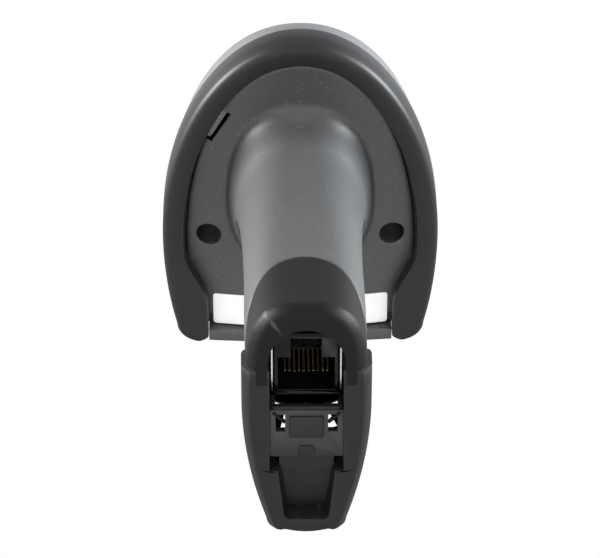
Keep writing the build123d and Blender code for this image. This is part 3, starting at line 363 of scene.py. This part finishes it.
def skin_group():
    """Node group for a moulded skin: fine grain, slow mottling and a little handling sheen."""
    group = bpy.data.node_groups.new("moulded_skin", "ShaderNodeTree")
    sockets = group.interface.new_socket
    sockets("Colour", in_out="INPUT", socket_type="NodeSocketColor")
    for name, value in (("Variation", 0.1), ("Roughness", 0.5), ("Roughness Change", 0.08),
                        ("Grain Size", 0.3), ("Painted Glints", 0.0), ("Wear", 0.2)):
        sockets(name, in_out="INPUT", socket_type="NodeSocketFloat").default_value = value
    sockets("Colour", in_out="OUTPUT", socket_type="NodeSocketColor")
    sockets("Roughness", in_out="OUTPUT", socket_type="NodeSocketFloat")
    sockets("Height", in_out="OUTPUT", socket_type="NodeSocketFloat")
    add, link = group.nodes.new, group.links.new
    source, result = add("NodeGroupInput"), add("NodeGroupOutput")
    place = add("ShaderNodeTexCoord")

    def maths(operation, first, second=None, third=None):
        """One Math node, whose inputs are sockets or plain numbers."""
        node = add("ShaderNodeMath")
        node.operation = operation
        for slot, value in zip(node.inputs, (first, second, third)):
            if value is None:
                continue
            if isinstance(value, (int, float)):
                slot.default_value = value
            else:
                link(value, slot)
        return node.outputs[0]

    def noise(scale, detail, rough=0.5):
        """Noise on Object coordinates, at a scale in cells to the metre."""
        node = add("ShaderNodeTexNoise")
        node.inputs["Detail"].default_value = detail
        node.inputs["Roughness"].default_value = rough
        link(place.outputs["Object"], node.inputs["Vector"])
        if isinstance(scale, (int, float)):
            node.inputs["Scale"].default_value = scale
        else:
            link(scale, node.inputs["Scale"])
        return node.outputs["Fac"]

    cells = maths("DIVIDE", 1000.0, source.outputs["Grain Size"])
    grain = noise(cells, 3.0, 0.6)
    pits = add("ShaderNodeTexVoronoi")
    link(place.outputs["Object"], pits.inputs["Vector"])
    link(cells, pits.inputs["Scale"])
    mottle = noise(55.0, 4.0)
    smears = noise(22.0, 6.0, 0.7)
    edge = add("ShaderNodeNewGeometry").outputs["Pointiness"]
    sharp = maths("MULTIPLY", maths("MAXIMUM", maths("SUBTRACT", edge, 0.53), 0.0), 9.0)
    worn = maths("MULTIPLY", maths("MINIMUM", sharp, 1.0), source.outputs["Wear"])
    worn = maths("MULTIPLY", worn, smears)
    shade = maths("MULTIPLY_ADD", maths("SUBTRACT", mottle, 0.5), source.outputs["Variation"], 1.0)
    # Painted glints: a few cells of the grain pattern are painted lighter by this amount, in place
    # of the sparkle of light on the grain.
    painted_glint = maths("GREATER_THAN", pits.outputs["Color"], 0.9)
    painted_glint = maths("MULTIPLY", painted_glint, source.outputs["Painted Glints"])
    tone = maths("ADD", maths("ADD", shade, painted_glint), maths("MULTIPLY_ADD", grain, 0.16, -0.08))
    tinted = add("ShaderNodeVectorMath")
    tinted.operation = "SCALE"
    link(source.outputs["Colour"], tinted.inputs[0])
    link(tone, tinted.inputs["Scale"])
    mix = add("ShaderNodeMix")
    mix.data_type = "RGBA"
    link(worn, mix.inputs["Factor"])
    link(tinted.outputs[0], mix.inputs[6])
    mix.inputs[7].default_value = (0.32, 0.32, 0.33, 1.0)
    link(mix.outputs[2], result.inputs["Colour"])
    change = maths("MULTIPLY", maths("SUBTRACT", smears, 0.5), source.outputs["Roughness Change"])
    rough = maths("ADD", source.outputs["Roughness"], change)
    link(maths("SUBTRACT", rough, maths("MULTIPLY", worn, 0.15)), result.inputs["Roughness"])
    bump = maths("MULTIPLY_ADD", pits.outputs["Distance"], 0.5, maths("MULTIPLY", grain, 0.5))
    link(bump, result.inputs["Height"])
    return group


moulded_skin = skin_group()


def skin(name, colour, roughness, grain_size, depth, variation=0.12, painted_glints=0.0, wear=0.25,
         change=0.1, **sockets):
    """Material with the moulded skin: grain size and depth in millimetres."""
    material = bpy.data.materials.new(name)
    material.use_nodes = True
    tree = material.node_tree
    shader = tree.nodes["Principled BSDF"]
    group = tree.nodes.new("ShaderNodeGroup")
    group.node_tree = moulded_skin
    for socket, value in (("Colour", (*colour, 1.0)), ("Roughness", roughness), ("Wear", wear),
                          ("Grain Size", grain_size), ("Variation", variation),
                          ("Painted Glints", painted_glints), ("Roughness Change", change)):
        group.inputs[socket].default_value = value
    bump = tree.nodes.new("ShaderNodeBump")
    bump.inputs["Strength"].default_value = 1.0
    bump.inputs["Distance"].default_value = depth * mm
    tree.links.new(group.outputs["Height"], bump.inputs["Height"])
    tree.links.new(group.outputs["Colour"], shader.inputs["Base Color"])
    tree.links.new(group.outputs["Roughness"], shader.inputs["Roughness"])
    tree.links.new(bump.outputs["Normal"], shader.inputs["Normal"])
    for socket, value in sockets.items():
        shader.inputs[socket.replace("_", " ")].default_value = value
    return material


def paint(material, *names):
    """Gives CAD nodes a material."""
    for name in names:
        for slot in nodes[name].material_slots:
            slot.material = material


# The lighter grain cells in this colour are painted glints.
housing_skin = skin("housing_skin", (0.043, 0.0442, 0.0456), 0.45, 0.38, 0.045, painted_glints=0.8)
finish_piece(housing, housing_skin, "housing_dark", "housing", "lower_housing")

# ---------------------------------------------------------------- top cover
# The lighter upper shell is painted satin grey over ABS. It is one moulding, held by two
# screws from below and a snap hook at one side.
cover_inset = 1.2
cover_rise = 43.0
roof_reach = 152.0
roof_power = 2.5


def roof_line(setback):
    """Height of the roof over the bumper: the rear of a long ellipse, 43 mm at the nose."""
    rise = np.sqrt(1.0 - ((roof_reach - setback) / roof_reach) ** 2)
    full = math.sqrt(1.0 - ((roof_reach - (tail_y - nose_y)) / roof_reach) ** 2)
    return cover_rise * rise / full * (1.0 - 0.24 * np.exp(-setback / 9.0))


def roof_half(setback):
    """Half width of the cover: the head's outline, moved in by the cover's inset."""
    tail = np.sqrt(np.maximum(1.0 - ((tail_length - setback) / (tail_length - cover_inset)) ** 2,
                              0.0))
    front = (setback - tail_length) / (tail_y - nose_y - tail_length)
    side = head_half - cover_inset - (head_half - nose_half) * np.maximum(front, 0.0) ** 2
    return np.where(setback < tail_length, (head_half - cover_inset) * tail, side)


turn = np.linspace(0.0, math.pi, 81)
cover_length = tail_y - shell_front_y
setback = cover_inset + (cover_length - cover_inset) * (
    1.0 - np.cos(np.linspace(0.0, math.pi / 2.0, 61)))[:, None]
wide = np.sign(np.cos(turn)) * np.abs(np.cos(turn)) ** (2.0 / roof_power)
tall = np.sin(turn) ** (2.0 / roof_power)
roof = np.stack(np.broadcast_arrays(
    roof_half(setback) * wide, tail_y - setback,
    split_z + np.maximum(roof_line(setback) - 0.6, 0.02) * tall), -1)
cover = surface("top_cover_shell", [roof])
thicken(cover, 1.6)
pipe_low, pipe_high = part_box("status_light_pipe")
pipe_y = (pipe_low.y + pipe_high.y) / 2.0 / mm
pipe_half = (pipe_high.x - pipe_low.x) / 2.0 / mm
pipe_round = (pipe_high.y - pipe_low.y) / 2.0 / mm
turn = np.linspace(-math.pi / 2.0, math.pi / 2.0, 13)
end = np.stack([pipe_half - pipe_round + pipe_round * np.cos(turn), pipe_round * np.sin(turn)], -1)
slot_plan = np.concatenate([end, -end]) * 1.02 + [0.0, pipe_y]
cut(cover, prism("cutter", slot_plan, split_z + 4.0, split_z + 60.0))
hook = prism("hook", slot_corners(8.9, 1.6), underside_z + 3.0, split_z + 8.0)
merge(cover, hook)
shade(cover)
cover_skin = skin("cover_skin", (0.115, 0.117, 0.12), 0.42, 0.2, 0.008)
finish_piece(cover, cover_skin, "cover_grey", "housing", "top_cover")

# ---------------------------------------------------------------- bumper
# Soft black rubber moulded round the lower edge of the head, with a thin lip turned in
# under it and a wide pad at each front corner.
bumper_plan = head_plan(0.0, nose_y)
away = 1000.0 * (bumper_plan[:, 1] > nose_y + 4)  # keeps the ring's end at the nose
start = int(np.argmin(np.abs(bumper_plan[:, 0] - 22.6) + away))
ring = bumper_plan[:start + 1]
ring = np.concatenate([(ring * [-1.0, 1.0])[::-1][:-1], ring])
leg = np.concatenate([[0.0], np.cumsum(np.hypot(*np.diff(ring, axis=0).T))])
spaced = np.linspace(0.0, leg[-1], 401)
ring = np.stack([np.interp(spaced, leg, ring[:, 0]), np.interp(spaced, leg, ring[:, 1])], 1)
from_end = np.minimum(spaced, leg[-1] - spaced)
side = np.sign(ring[:, 0])
tangent = np.gradient(ring, axis=0)
tangent /= np.hypot(*tangent.T)[:, None]
inward = np.stack([-tangent[:, 1], tangent[:, 0]], 1)
inward *= np.sign(np.sum(inward * ([0.0, wide_y] - ring), 1))[:, None]
lip = ring + inward * 5.3
pad_share = smooth((wide_y - 4.0 - ring[:, 1]) / 18.0)[:, None]
pad_edge = np.stack([side * 22.7, np.clip(ring[:, 1] + 1.5, nose_y + 1.2, None)], 1)
lip = lip * (1.0 - pad_share) + pad_edge * pad_share
to_lip = lip - ring
width = np.hypot(*to_lip.T)
reach = to_lip / np.maximum(width, 0.01)[:, None]
bottom = underside_z - 1.2 - 0.8 * pad_share[:, 0]
bottom += 2.2 * (1.0 - smooth(from_end / 3.0))
edge_round = np.minimum(1.9, 0.4 * width)
under = underside_z + lip[:, 0] ** 2 / (2.0 * crown_radius)
# The ring's profile as (distance in from the outline, height): down the outside, round the
# lower edge, across the flat underside, and back up behind the lip.
rows = [(0.0 * width, split_z + 0.0 * width), (0.0 * width, bottom + edge_round + 2.0),
        (0.0 * width, bottom + edge_round)]
for angle in np.linspace(0.0, math.pi / 2.0, 7)[1:]:
    rows.append((edge_round * (1.0 - math.cos(angle)) * 1.1,
                 bottom + edge_round * (1.0 - math.sin(angle))))
rows += [(width * 0.6, bottom - 0.05), (width - 0.9, bottom), (width - 0.3, bottom + 0.1),
         (width, bottom + 0.5), (width, under + 0.2), (width - 0.6, under + 0.4)]
rows += [(0.0 * width + 0.6, under + 1.5), (0.0 * width + 0.9, split_z + 0.0 * width)]
band = np.stack([np.concatenate([ring + reach * out[:, None], height[:, None]], 1)
                 for out, height in rows])
band = np.concatenate([band, band[:1]])
bumper = surface("bumper_ring", [band])
work = bmesh.new()
work.from_mesh(bumper.data)
bmesh.ops.holes_fill(work, edges=[e for e in work.edges if e.is_boundary])
bmesh.ops.recalc_face_normals(work, faces=work.faces)
work.to_mesh(bumper.data)
work.free()
shade(bumper, 40.0)
rubber_skin = skin("rubber_skin", (0.010, 0.0103, 0.011), 0.48, 0.35, 0.015,
                   Specular_IOR_Level=0.25)
finish_piece(bumper, rubber_skin, "rubber_black", "housing", "bumper")

# ---------------------------------------------------------------- end cap
# The end of the handle is a separate cap in a darker, coarser texture. Its arched upper
# edge meets the housing in a fine groove, and its flat end is a U round the jack.
well_half, well_rear_y, well_top = 8.2, heel_y - 6.5, 17.0
joint = arch_height(rear_angles)
heights = [joint - 0.1, joint - 0.12, joint - 0.22]
spreads = [-1.0, -0.4, -0.12]
heights += [joint - 0.5 + (2.6 - joint + 0.5) * s for s in np.linspace(0.0, 1.0, 24)]
spreads += [0.0] * 24
heights += [1.6, 0.7, 0.15, 0.0]
spreads += [-0.5, -1.3, -1.9, -2.3]
cap_grid = grip_rows(rear_angles, heights, spreads)
centre_column, parting_ridge = 60, 0.08
cap_grid[3:, centre_column, 1] += parting_ridge
edge_loop = cap_grid[-1]
round_y = well_rear_y - well_half
bearing = np.arctan2(edge_loop[:, 1] - round_y, edge_loop[:, 0])
well_loop = np.stack([
    np.where(bearing > 0.0, well_half * np.cos(bearing), well_half * np.sign(edge_loop[:, 0])),
    np.where(bearing > 0.0, round_y + well_half * np.sin(bearing) ** 1.15, edge_loop[:, 1])], 1)
rows = [edge_loop]
for share, height in ((0.5, 0.0), (0.9, 0.0), (0.97, 0.06), (1.0, 0.3), (1.0, 6.0),
                      (1.0, well_top)):
    flat = edge_loop[:, :2] * (1.0 - share) + well_loop * share
    rows.append(np.column_stack([flat, np.full(len(flat), height)]))
cap = surface("end_cap_shell", [np.concatenate([cap_grid, np.stack(rows[1:])])], flip=True)
shade(cap, 50.0)
cap_skin = skin("cap_skin", (0.0045, 0.0045, 0.0046), 0.55, 0.5, 0.04, Specular_IOR_Level=0.14)
finish_piece(cap, cap_skin, "cap_dark", "housing", "end_cap")

# ---------------------------------------------------------------- front shell and foot
# The front of the handle ends in a foot that reaches forward as a blunt beak, with a
# pocket in its flat face. It is moulded in the same dark ABS as the housing.
root_front = flare_rows(front_angles, np.linspace(seam_turn + 0.02, math.pi / 2.0, 12))
heights = np.concatenate([np.linspace(flare_foot_z, 14.0, 30)[1:], np.linspace(13.4, 5.0, 16)])
from_seam = np.minimum(front_angles - front_angles[0], front_angles[-1] - front_angles)
swell = smooth((13.2 - heights) / 2.4)[:, None] * smooth(from_seam / 0.25)
front_grid = np.concatenate([root_front, grip_rows(front_angles, heights, swell)])
front = surface("handle_front_shell", [front_grid], flip=True)
thicken(front, 1.4)
trigger_low, trigger_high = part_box("trigger")
trigger_half = trigger_high.x / mm + 0.5


def block(name, low_corner, high_corner):
    """Closed box between two corners, in millimetres."""
    (x0, y0, z0), (x1, y1, z1) = low_corner, high_corner
    return prism(name, [(x0, y0), (x1, y0), (x1, y1), (x0, y1)], z0, z1)


# The opening leaves room for the pad at full pull.
cut(front, block("cutter",
                 (-trigger_half, trigger_low.y / mm - 20.0, trigger_low.z / mm - 1.5),
                 (trigger_half, trigger_high.y / mm + 2.5, underside_z - seam_drop + 2.0)))
cut(front, block("cutter", (-7.7, 0.0, 7.4), (7.7, heel_y - 28.0, 18.5)))
beak_tip_y = heel_y - 63.2
foot_rear_y, step_y, pocket_tip_y = 31.5, 4.4, beak_tip_y + 5.2


def beak_half(y):
    """Half width of the foot: 13.9 mm at the shoulders, less a parabola towards the tip."""
    return 13.9 - 6.3 * (np.maximum(22.0 - y, 0.0) / 36.5) ** 2


corner_y = beak_tip_y + 3.4
well_rows, beak_rows = 24, 20
outer_y = np.concatenate([np.linspace(foot_rear_y, step_y, well_rows),
                          np.linspace(step_y, corner_y, beak_rows)])
outer = np.stack([beak_half(outer_y), outer_y], 1)
turn = np.linspace(0.0, math.pi / 2.0, 9)[1:]
corner_half = beak_half(np.array(corner_y))
outer = np.concatenate([outer, np.stack([corner_half - 3.2 + 3.2 * np.cos(turn),
                                         corner_y - 2.9 * np.sin(turn)], 1)])
x = np.linspace(corner_half - 3.2, 0.0, 8)[1:]
outer = np.concatenate([outer, np.stack([x, beak_tip_y + 0.5 * (x / 4.0) ** 2], 1)])
inner_y = np.concatenate([np.linspace(foot_rear_y, step_y, well_rows),
                          np.linspace(step_y, pocket_tip_y + 1.5, beak_rows)])
inner_x = np.where(np.arange(well_rows + beak_rows) < well_rows, 7.9,
                   6.1 - 1.5 * (step_y - inner_y) / 15.0)
inner = np.stack([inner_x, inner_y], 1)
inner = np.concatenate([inner, np.stack([inner_x[-1] - 1.5 + 1.5 * np.cos(turn),
                                         pocket_tip_y + 1.5 - 1.5 * np.sin(turn)], 1)])
x = np.linspace(inner_x[-1] - 1.5, 0.0, 8)[1:]
inner = np.concatenate([inner, np.stack([x, pocket_tip_y + 0.0 * x], 1)])


def both_sides(half_loop):
    """A half outline carried on round its mirror image."""
    return np.concatenate([half_loop, (half_loop * [-1.0, 1.0])[::-1][1:]])


outer, inner = both_sides(outer), both_sides(inner)


def moved_in(loop, distance):
    """Outline moved towards its inside by a distance, along its own normals."""
    run = np.gradient(loop, axis=0)
    run /= np.maximum(np.hypot(*run.T), 1e-6)[:, None]
    return loop + np.stack([run[:, 1], -run[:, 0]], 1) * distance


def at_height(loop, height):
    """Outline as points in space at a height, or a height for each point."""
    return np.column_stack([loop, height + 0.0 * loop[:, 0]])


beak_top = 8.0 - 2.5 * np.clip((22.0 - outer[:, 1]) / 37.0, 0.0, 1.0)
index = np.arange(len(inner))
in_well = np.minimum(index, len(inner) - 1 - index) < well_rows
pocket_floor = 1.0 + 3.2 * np.clip((8.0 - inner[:, 1]) / 17.0, 0.0, 1.0)
wall_top = np.where(in_well, beak_top, pocket_floor)
rear_lift = 0.08 * smooth((outer[:, 1] - 27.0) / 1.2)
floor_loop = moved_in(inner, 0.7 * (1.0 - in_well)[:, None])  # the pocket's drafted wall
well_edge = np.where(in_well[:, None], inner, moved_in(outer, 4.0))
loops = [at_height(well_edge, beak_top), at_height(moved_in(outer, 1.4), beak_top),
         at_height(moved_in(outer, 0.4), beak_top - 0.3), at_height(outer, beak_top - 1.3),
         at_height(outer, 3.0), at_height(moved_in(outer, 0.15), 2.4),
         at_height(moved_in(outer, 1.5), 0.35), at_height(moved_in(outer, 1.9), 0.06),
         at_height(moved_in(outer, 2.4), rear_lift), at_height(moved_in(inner, -0.5), rear_lift),
         at_height(moved_in(inner, -0.12), 0.08), at_height(inner, 0.4),
         at_height(floor_loop, wall_top)]
foot_grid = np.stack(loops)
half_count = len(inner) // 2
floor_right = foot_grid[-1][well_rows:half_count + 1]
floor_left = foot_grid[-1][::-1][well_rows:half_count + 1]
share = np.linspace(0.0, 1.0, 15)[:, None, None]
floor_grid = floor_right[None] * (1.0 - share) + floor_left[None] * share
tongue = floor_grid[:, :1] + np.array([0.0, 4.0, -0.35])
floor_grid = np.concatenate([tongue, floor_grid], 1)
top_right = foot_grid[0][well_rows:half_count + 1]
top_left = foot_grid[0][::-1][well_rows:half_count + 1]
top_grid = top_right[None] * (1.0 - share) + top_left[None] * share
ends = [np.stack([foot_grid[:, i], np.broadcast_to(foot_grid[:, i].mean(0), (len(loops), 3))])
        for i in (0, -1)]
foot = surface("foot", [foot_grid, floor_grid, top_grid[:, ::-1], *ends])
work = bmesh.new()
work.from_mesh(foot.data)
bmesh.ops.recalc_face_normals(work, faces=work.faces)
work.to_mesh(foot.data)
work.free()
merge(front, foot)
shade(front, 32.0)
# The housing's dark ABS, painted about five times darker here: painted shade on the front of the
# handle, the foot and its pocket.
front_shaded_skin = skin("front_shaded_skin", (0.0085, 0.0086, 0.009), 0.5, 0.4, 0.025,
                  Specular_IOR_Level=0.22)
finish_piece(front, front_shaded_skin, "housing_dark", "housing", "handle_front")

# ---------------------------------------------------------------- latch bracket and jack
# A polished black frame crosses the foot in front of the jack. Its plate has two windows,
# a raised pad between them and a rounded bar along its rear edge.
def softened(name, node, width, angle=30.0):
    """Merged copy of a CAD node's mesh, its edges rounded to a width in millimetres."""
    work = bmesh.new()
    work.from_mesh(nodes[node].data)
    bmesh.ops.remove_doubles(work, verts=work.verts, dist=0.002 * mm)
    bmesh.ops.dissolve_limit(work, angle_limit=math.radians(1.0), verts=work.verts,
                             edges=work.edges)
    mesh = bpy.data.meshes.new(name)
    work.to_mesh(mesh)
    work.free()
    return rounded(placed(name, mesh), width, angle)


def rounded(piece, width, angle=30.0):
    """Rounds a piece's sharp edges to a width in millimetres."""
    edges = piece.modifiers.new("edges", "BEVEL")
    edges.width = width * mm
    edges.segments = 2
    edges.limit_method = "ANGLE"
    edges.angle_limit = math.radians(angle)
    return shade(settle(piece))


bracket_low, bracket_high = (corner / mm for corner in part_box("latch_bracket"))
pad_front, pad_rear, pad_half = bracket_high.y - 7.4, bracket_high.y - 1.6, 3.7
bracket = softened("latch_frame", "latch_bracket", 0.22)
pad = rounded(block("pad", (-pad_half, pad_front, bracket_low.z - 0.45),
                    (pad_half, pad_rear, bracket_low.z + 0.4)), 0.3)
rear_bar = rounded(block("rear_bar",
                         (0.9 - bracket_high.x, bracket_high.y - 0.6, bracket_low.z + 0.2),
                         (bracket_high.x - 0.9, bracket_high.y + 0.7, bracket_low.z + 1.7)), 0.4)
wedge = rounded(prism("wedge", [(-1.9, bracket_low.y + 0.4), (1.9, bracket_low.y + 0.4),
                                (1.5, bracket_low.y + 3.0), (-1.5, bracket_low.y + 3.0)],
                      bracket_low.z - 0.3, bracket_low.z + 0.4), 0.25)
bars = [rounded(prism("bar", [(side * x, bracket_high.y + y) for x, y in outline[::side]],
                      bracket_low.z - 0.25, bracket_low.z + 0.6), 0.15)
        for side in (1, -1)
        for outline in [[(6.9, -0.3), (7.4, -0.8), (4.9, -3.6), (4.4, -3.2)]]]
merge(bracket, pad, rear_bar, wedge, *bars)
shade(bracket)
bracket_skin = skin("bracket_skin", (0.003, 0.003, 0.0033), 0.14, 0.8, 0.002,
                    Specular_IOR_Level=0.12)
finish_piece(bracket, bracket_skin, "gloss_black", "housing", "latch_bracket")

# The jack is a black moulding in a zinc-plated steel shield, with ten gold-plated wires.
jack = softened("jack_body", "jack_housing", 0.15)
finish_piece(jack, bracket_skin, "gloss_black", "housing", "jack_housing")
gold = skin("gold_plate", (0.8, 0.58, 0.22), 0.25, 0.5, 0.001, Metallic=1.0)
paint(gold, "jack_contacts")
steel = skin("zinc_plate", (0.6, 0.6, 0.61), 0.28, 0.5, 0.002, Metallic=1.0)
paint(steel, "jack_shield")

# ---------------------------------------------------------------- label
# A blank self-adhesive label of coated white paper at the nose end of the underside.
label_skin = skin("label_skin", (0.86, 0.865, 0.87), 0.45, 0.6, 0.004, variation=0.04, wear=0.0)
paint(label_skin, "rating_label")

# ---------------------------------------------------------------- window, bezel and trigger
# The front bezel holds a dark red acrylic window in a rubber gasket. The trigger is a
# curved finger pad with a soft black skin and rounded edges, on a steel pin with a coil spring.
bezel = softened("nose_bezel", "front_bezel", 0.5)
finish_piece(bezel, housing_skin, "housing_dark", "housing", "front_bezel")
window_skin = skin("window_tint", (0.25, 0.03, 0.03), 0.05, 0.7, 0.0004, variation=0.04,
                   wear=0.0, change=0.02, Transmission_Weight=0.8, IOR=1.49)
paint(window_skin, "scan_window")
paint(rubber_skin, "window_gasket", "housing_seal")
finger_pad = softened("trigger_pad", "trigger", 0.6)
finish_piece(finger_pad, rubber_skin, "rubber_black", "trigger", "trigger")
paint(steel, "trigger_pin", "trigger_spring", "head_screws", "board_screws", "chassis_screws")
brass = skin("turned_brass", (0.75, 0.58, 0.28), 0.3, 0.4, 0.004, Metallic=1.0)
paint(brass, "screw_inserts")

# ---------------------------------------------------------------- electronics
# Green glass-epoxy boards carry black moulded chips, beige connectors and phosphor LEDs.
# An amber polyimide flex joins the main board to the small board behind the jack.
board_skin = skin("solder_mask", (0.02, 0.11, 0.05), 0.28, 1.2, 0.008, variation=0.3, wear=0.1)
paint(board_skin, "main_board", "camera_board", "switch_board", "interface_board")
# The lighter grain cells in this colour are painted glints.
epoxy = skin("moulded_epoxy", (0.03, 0.03, 0.032), 0.55, 0.25, 0.006, painted_glints=0.2)
paint(epoxy, "processor_chip", "memory_chip", "beeper", "trigger_switch")
nylon = skin("beige_nylon", (0.62, 0.55, 0.4), 0.4, 0.4, 0.004, variation=0.08)
paint(nylon, "board_connector", "interface_connector", "switch_plunger")
phosphor = skin("phosphor_cap", (0.85, 0.82, 0.55), 0.3, 0.3, 0.003, variation=0.06)
paint(phosphor, "status_led", "aimer_led", "illumination_leds")
flex_skin = skin("polyimide", (0.45, 0.22, 0.05), 0.2, 0.8, 0.002, variation=0.15)
paint(flex_skin, "flex_cable")

# ---------------------------------------------------------------- imager and optics
# A black anodised chassis carries the sensor, its threaded lens barrel, and clear
# polycarbonate lenses for the aimer and the lamps. A clear pipe lights the cover.
anodised = skin("black_anodising", (0.035, 0.035, 0.038), 0.38, 0.3, 0.004, Metallic=0.7)
paint(anodised, "imager_chassis", "lens_barrel")
sensor_glass = skin("sensor_glass", (0.05, 0.06, 0.09), 0.08, 0.5, 0.0004, variation=0.2)
paint(sensor_glass, "image_sensor")
clear = skin("clear_polycarbonate", (0.9, 0.92, 0.95), 0.08, 0.8, 0.0004, variation=0.03,
             wear=0.0, change=0.03, Transmission_Weight=0.9, IOR=1.58)
paint(clear, "status_light_pipe", "lens_front", "aimer_lens", "illumination_lenses")

# ---------------------------------------------------------------- camera, light and floor
# A pale room with a soft box on each side of the handle, one warmer and one cooler, and a
# weak one level with the rear of the handle. The floor is a plain matt sheet.
def look(at, azimuth, elevation, distance, roll=0.0):
    """Matrix of something that looks at a point from an azimuth and elevation, in degrees."""
    turn, tilt = math.radians(azimuth), math.radians(elevation)
    back = Vector((math.sin(turn) * math.cos(tilt), -math.cos(turn) * math.cos(tilt),
                   math.sin(tilt)))
    aim = (-back).to_track_quat("-Z", "Y").to_matrix().to_4x4()
    return Matrix.Translation(Vector(at) + back * distance) @ aim @ Matrix.Rotation(
        math.radians(roll), 4, "Z")


camera_data = bpy.data.cameras.new("camera")
camera_data.lens = 223.0
camera_data.sensor_width = 36.0
camera_data.clip_end = 20.0
camera = bpy.data.objects.new("camera", camera_data)
camera.matrix_world = look((0.0002, -0.0222, 0.1049), 179.10, -53.31, 0.9, roll=-1.12)
bpy.context.collection.objects.link(camera)
bpy.context.scene.camera = camera
bpy.context.scene.view_settings.view_transform = "Standard"

world = bpy.data.worlds.new("room")
bpy.context.scene.world = world
world.use_nodes = True
tree = world.node_tree
seen = tree.nodes.new("ShaderNodeBackground")
seen.inputs["Color"].default_value = (1.0, 1.0, 1.0, 1.0)
seen.inputs["Strength"].default_value = 1.0
room = tree.nodes["Background"]
room.inputs["Color"].default_value = (1.0, 1.0, 1.0, 1.0)
room.inputs["Strength"].default_value = 0.5
ray = tree.nodes.new("ShaderNodeLightPath")
choose = tree.nodes.new("ShaderNodeMixShader")
tree.links.new(ray.outputs["Is Camera Ray"], choose.inputs["Fac"])
tree.links.new(room.outputs["Background"], choose.inputs[1])
tree.links.new(seen.outputs["Background"], choose.inputs[2])
tree.links.new(choose.outputs["Shader"], tree.nodes["World Output"].inputs["Surface"])


def soft_box(name, at, azimuth, elevation, distance, size, power, tint=(1.0, 1.0, 1.0)):
    """Area light that faces a point."""
    data = bpy.data.lights.new(name, "AREA")
    data.shape = "RECTANGLE"
    data.size, data.size_y = size
    data.energy = power
    data.color = tint
    light = bpy.data.objects.new(name, data)
    light.matrix_world = look(at, azimuth, elevation, distance)
    bpy.context.collection.objects.link(light)


handle_middle = (0.0, 0.02, 0.06)
soft_box("left_box", handle_middle, 105.0, 12.0, 0.9, (0.25, 0.6), 34.0, (1.0, 0.97, 0.93))
soft_box("right_box", handle_middle, 255.0, 12.0, 0.9, (0.25, 0.6), 34.0, (0.95, 0.98, 1.0))
soft_box("rear_box", handle_middle, 180.0, -8.0, 1.0, (0.6, 0.3), 1.6)

floor_drop = 0.8
floor_half = 3.0
corners = [(x * floor_half, y * floor_half, cad_low.z - floor_drop)
           for x, y in ((-1, -1), (1, -1), (1, 1), (-1, 1))]
floor_mesh = bpy.data.meshes.new("floor")
floor_mesh.from_pydata(corners, [], [(0, 1, 2, 3)])
floor = bpy.data.objects.new("floor", floor_mesh)
floor_paint = bpy.data.materials.new("floor_paint")
floor_paint.use_nodes = True
floor_paint.node_tree.nodes["Principled BSDF"].inputs["Base Color"].default_value = (
    0.82, 0.82, 0.82, 1.0)
floor_paint.node_tree.nodes["Principled BSDF"].inputs["Roughness"].default_value = 0.7
floor_mesh.materials.append(floor_paint)
bpy.context.collection.objects.link(floor)
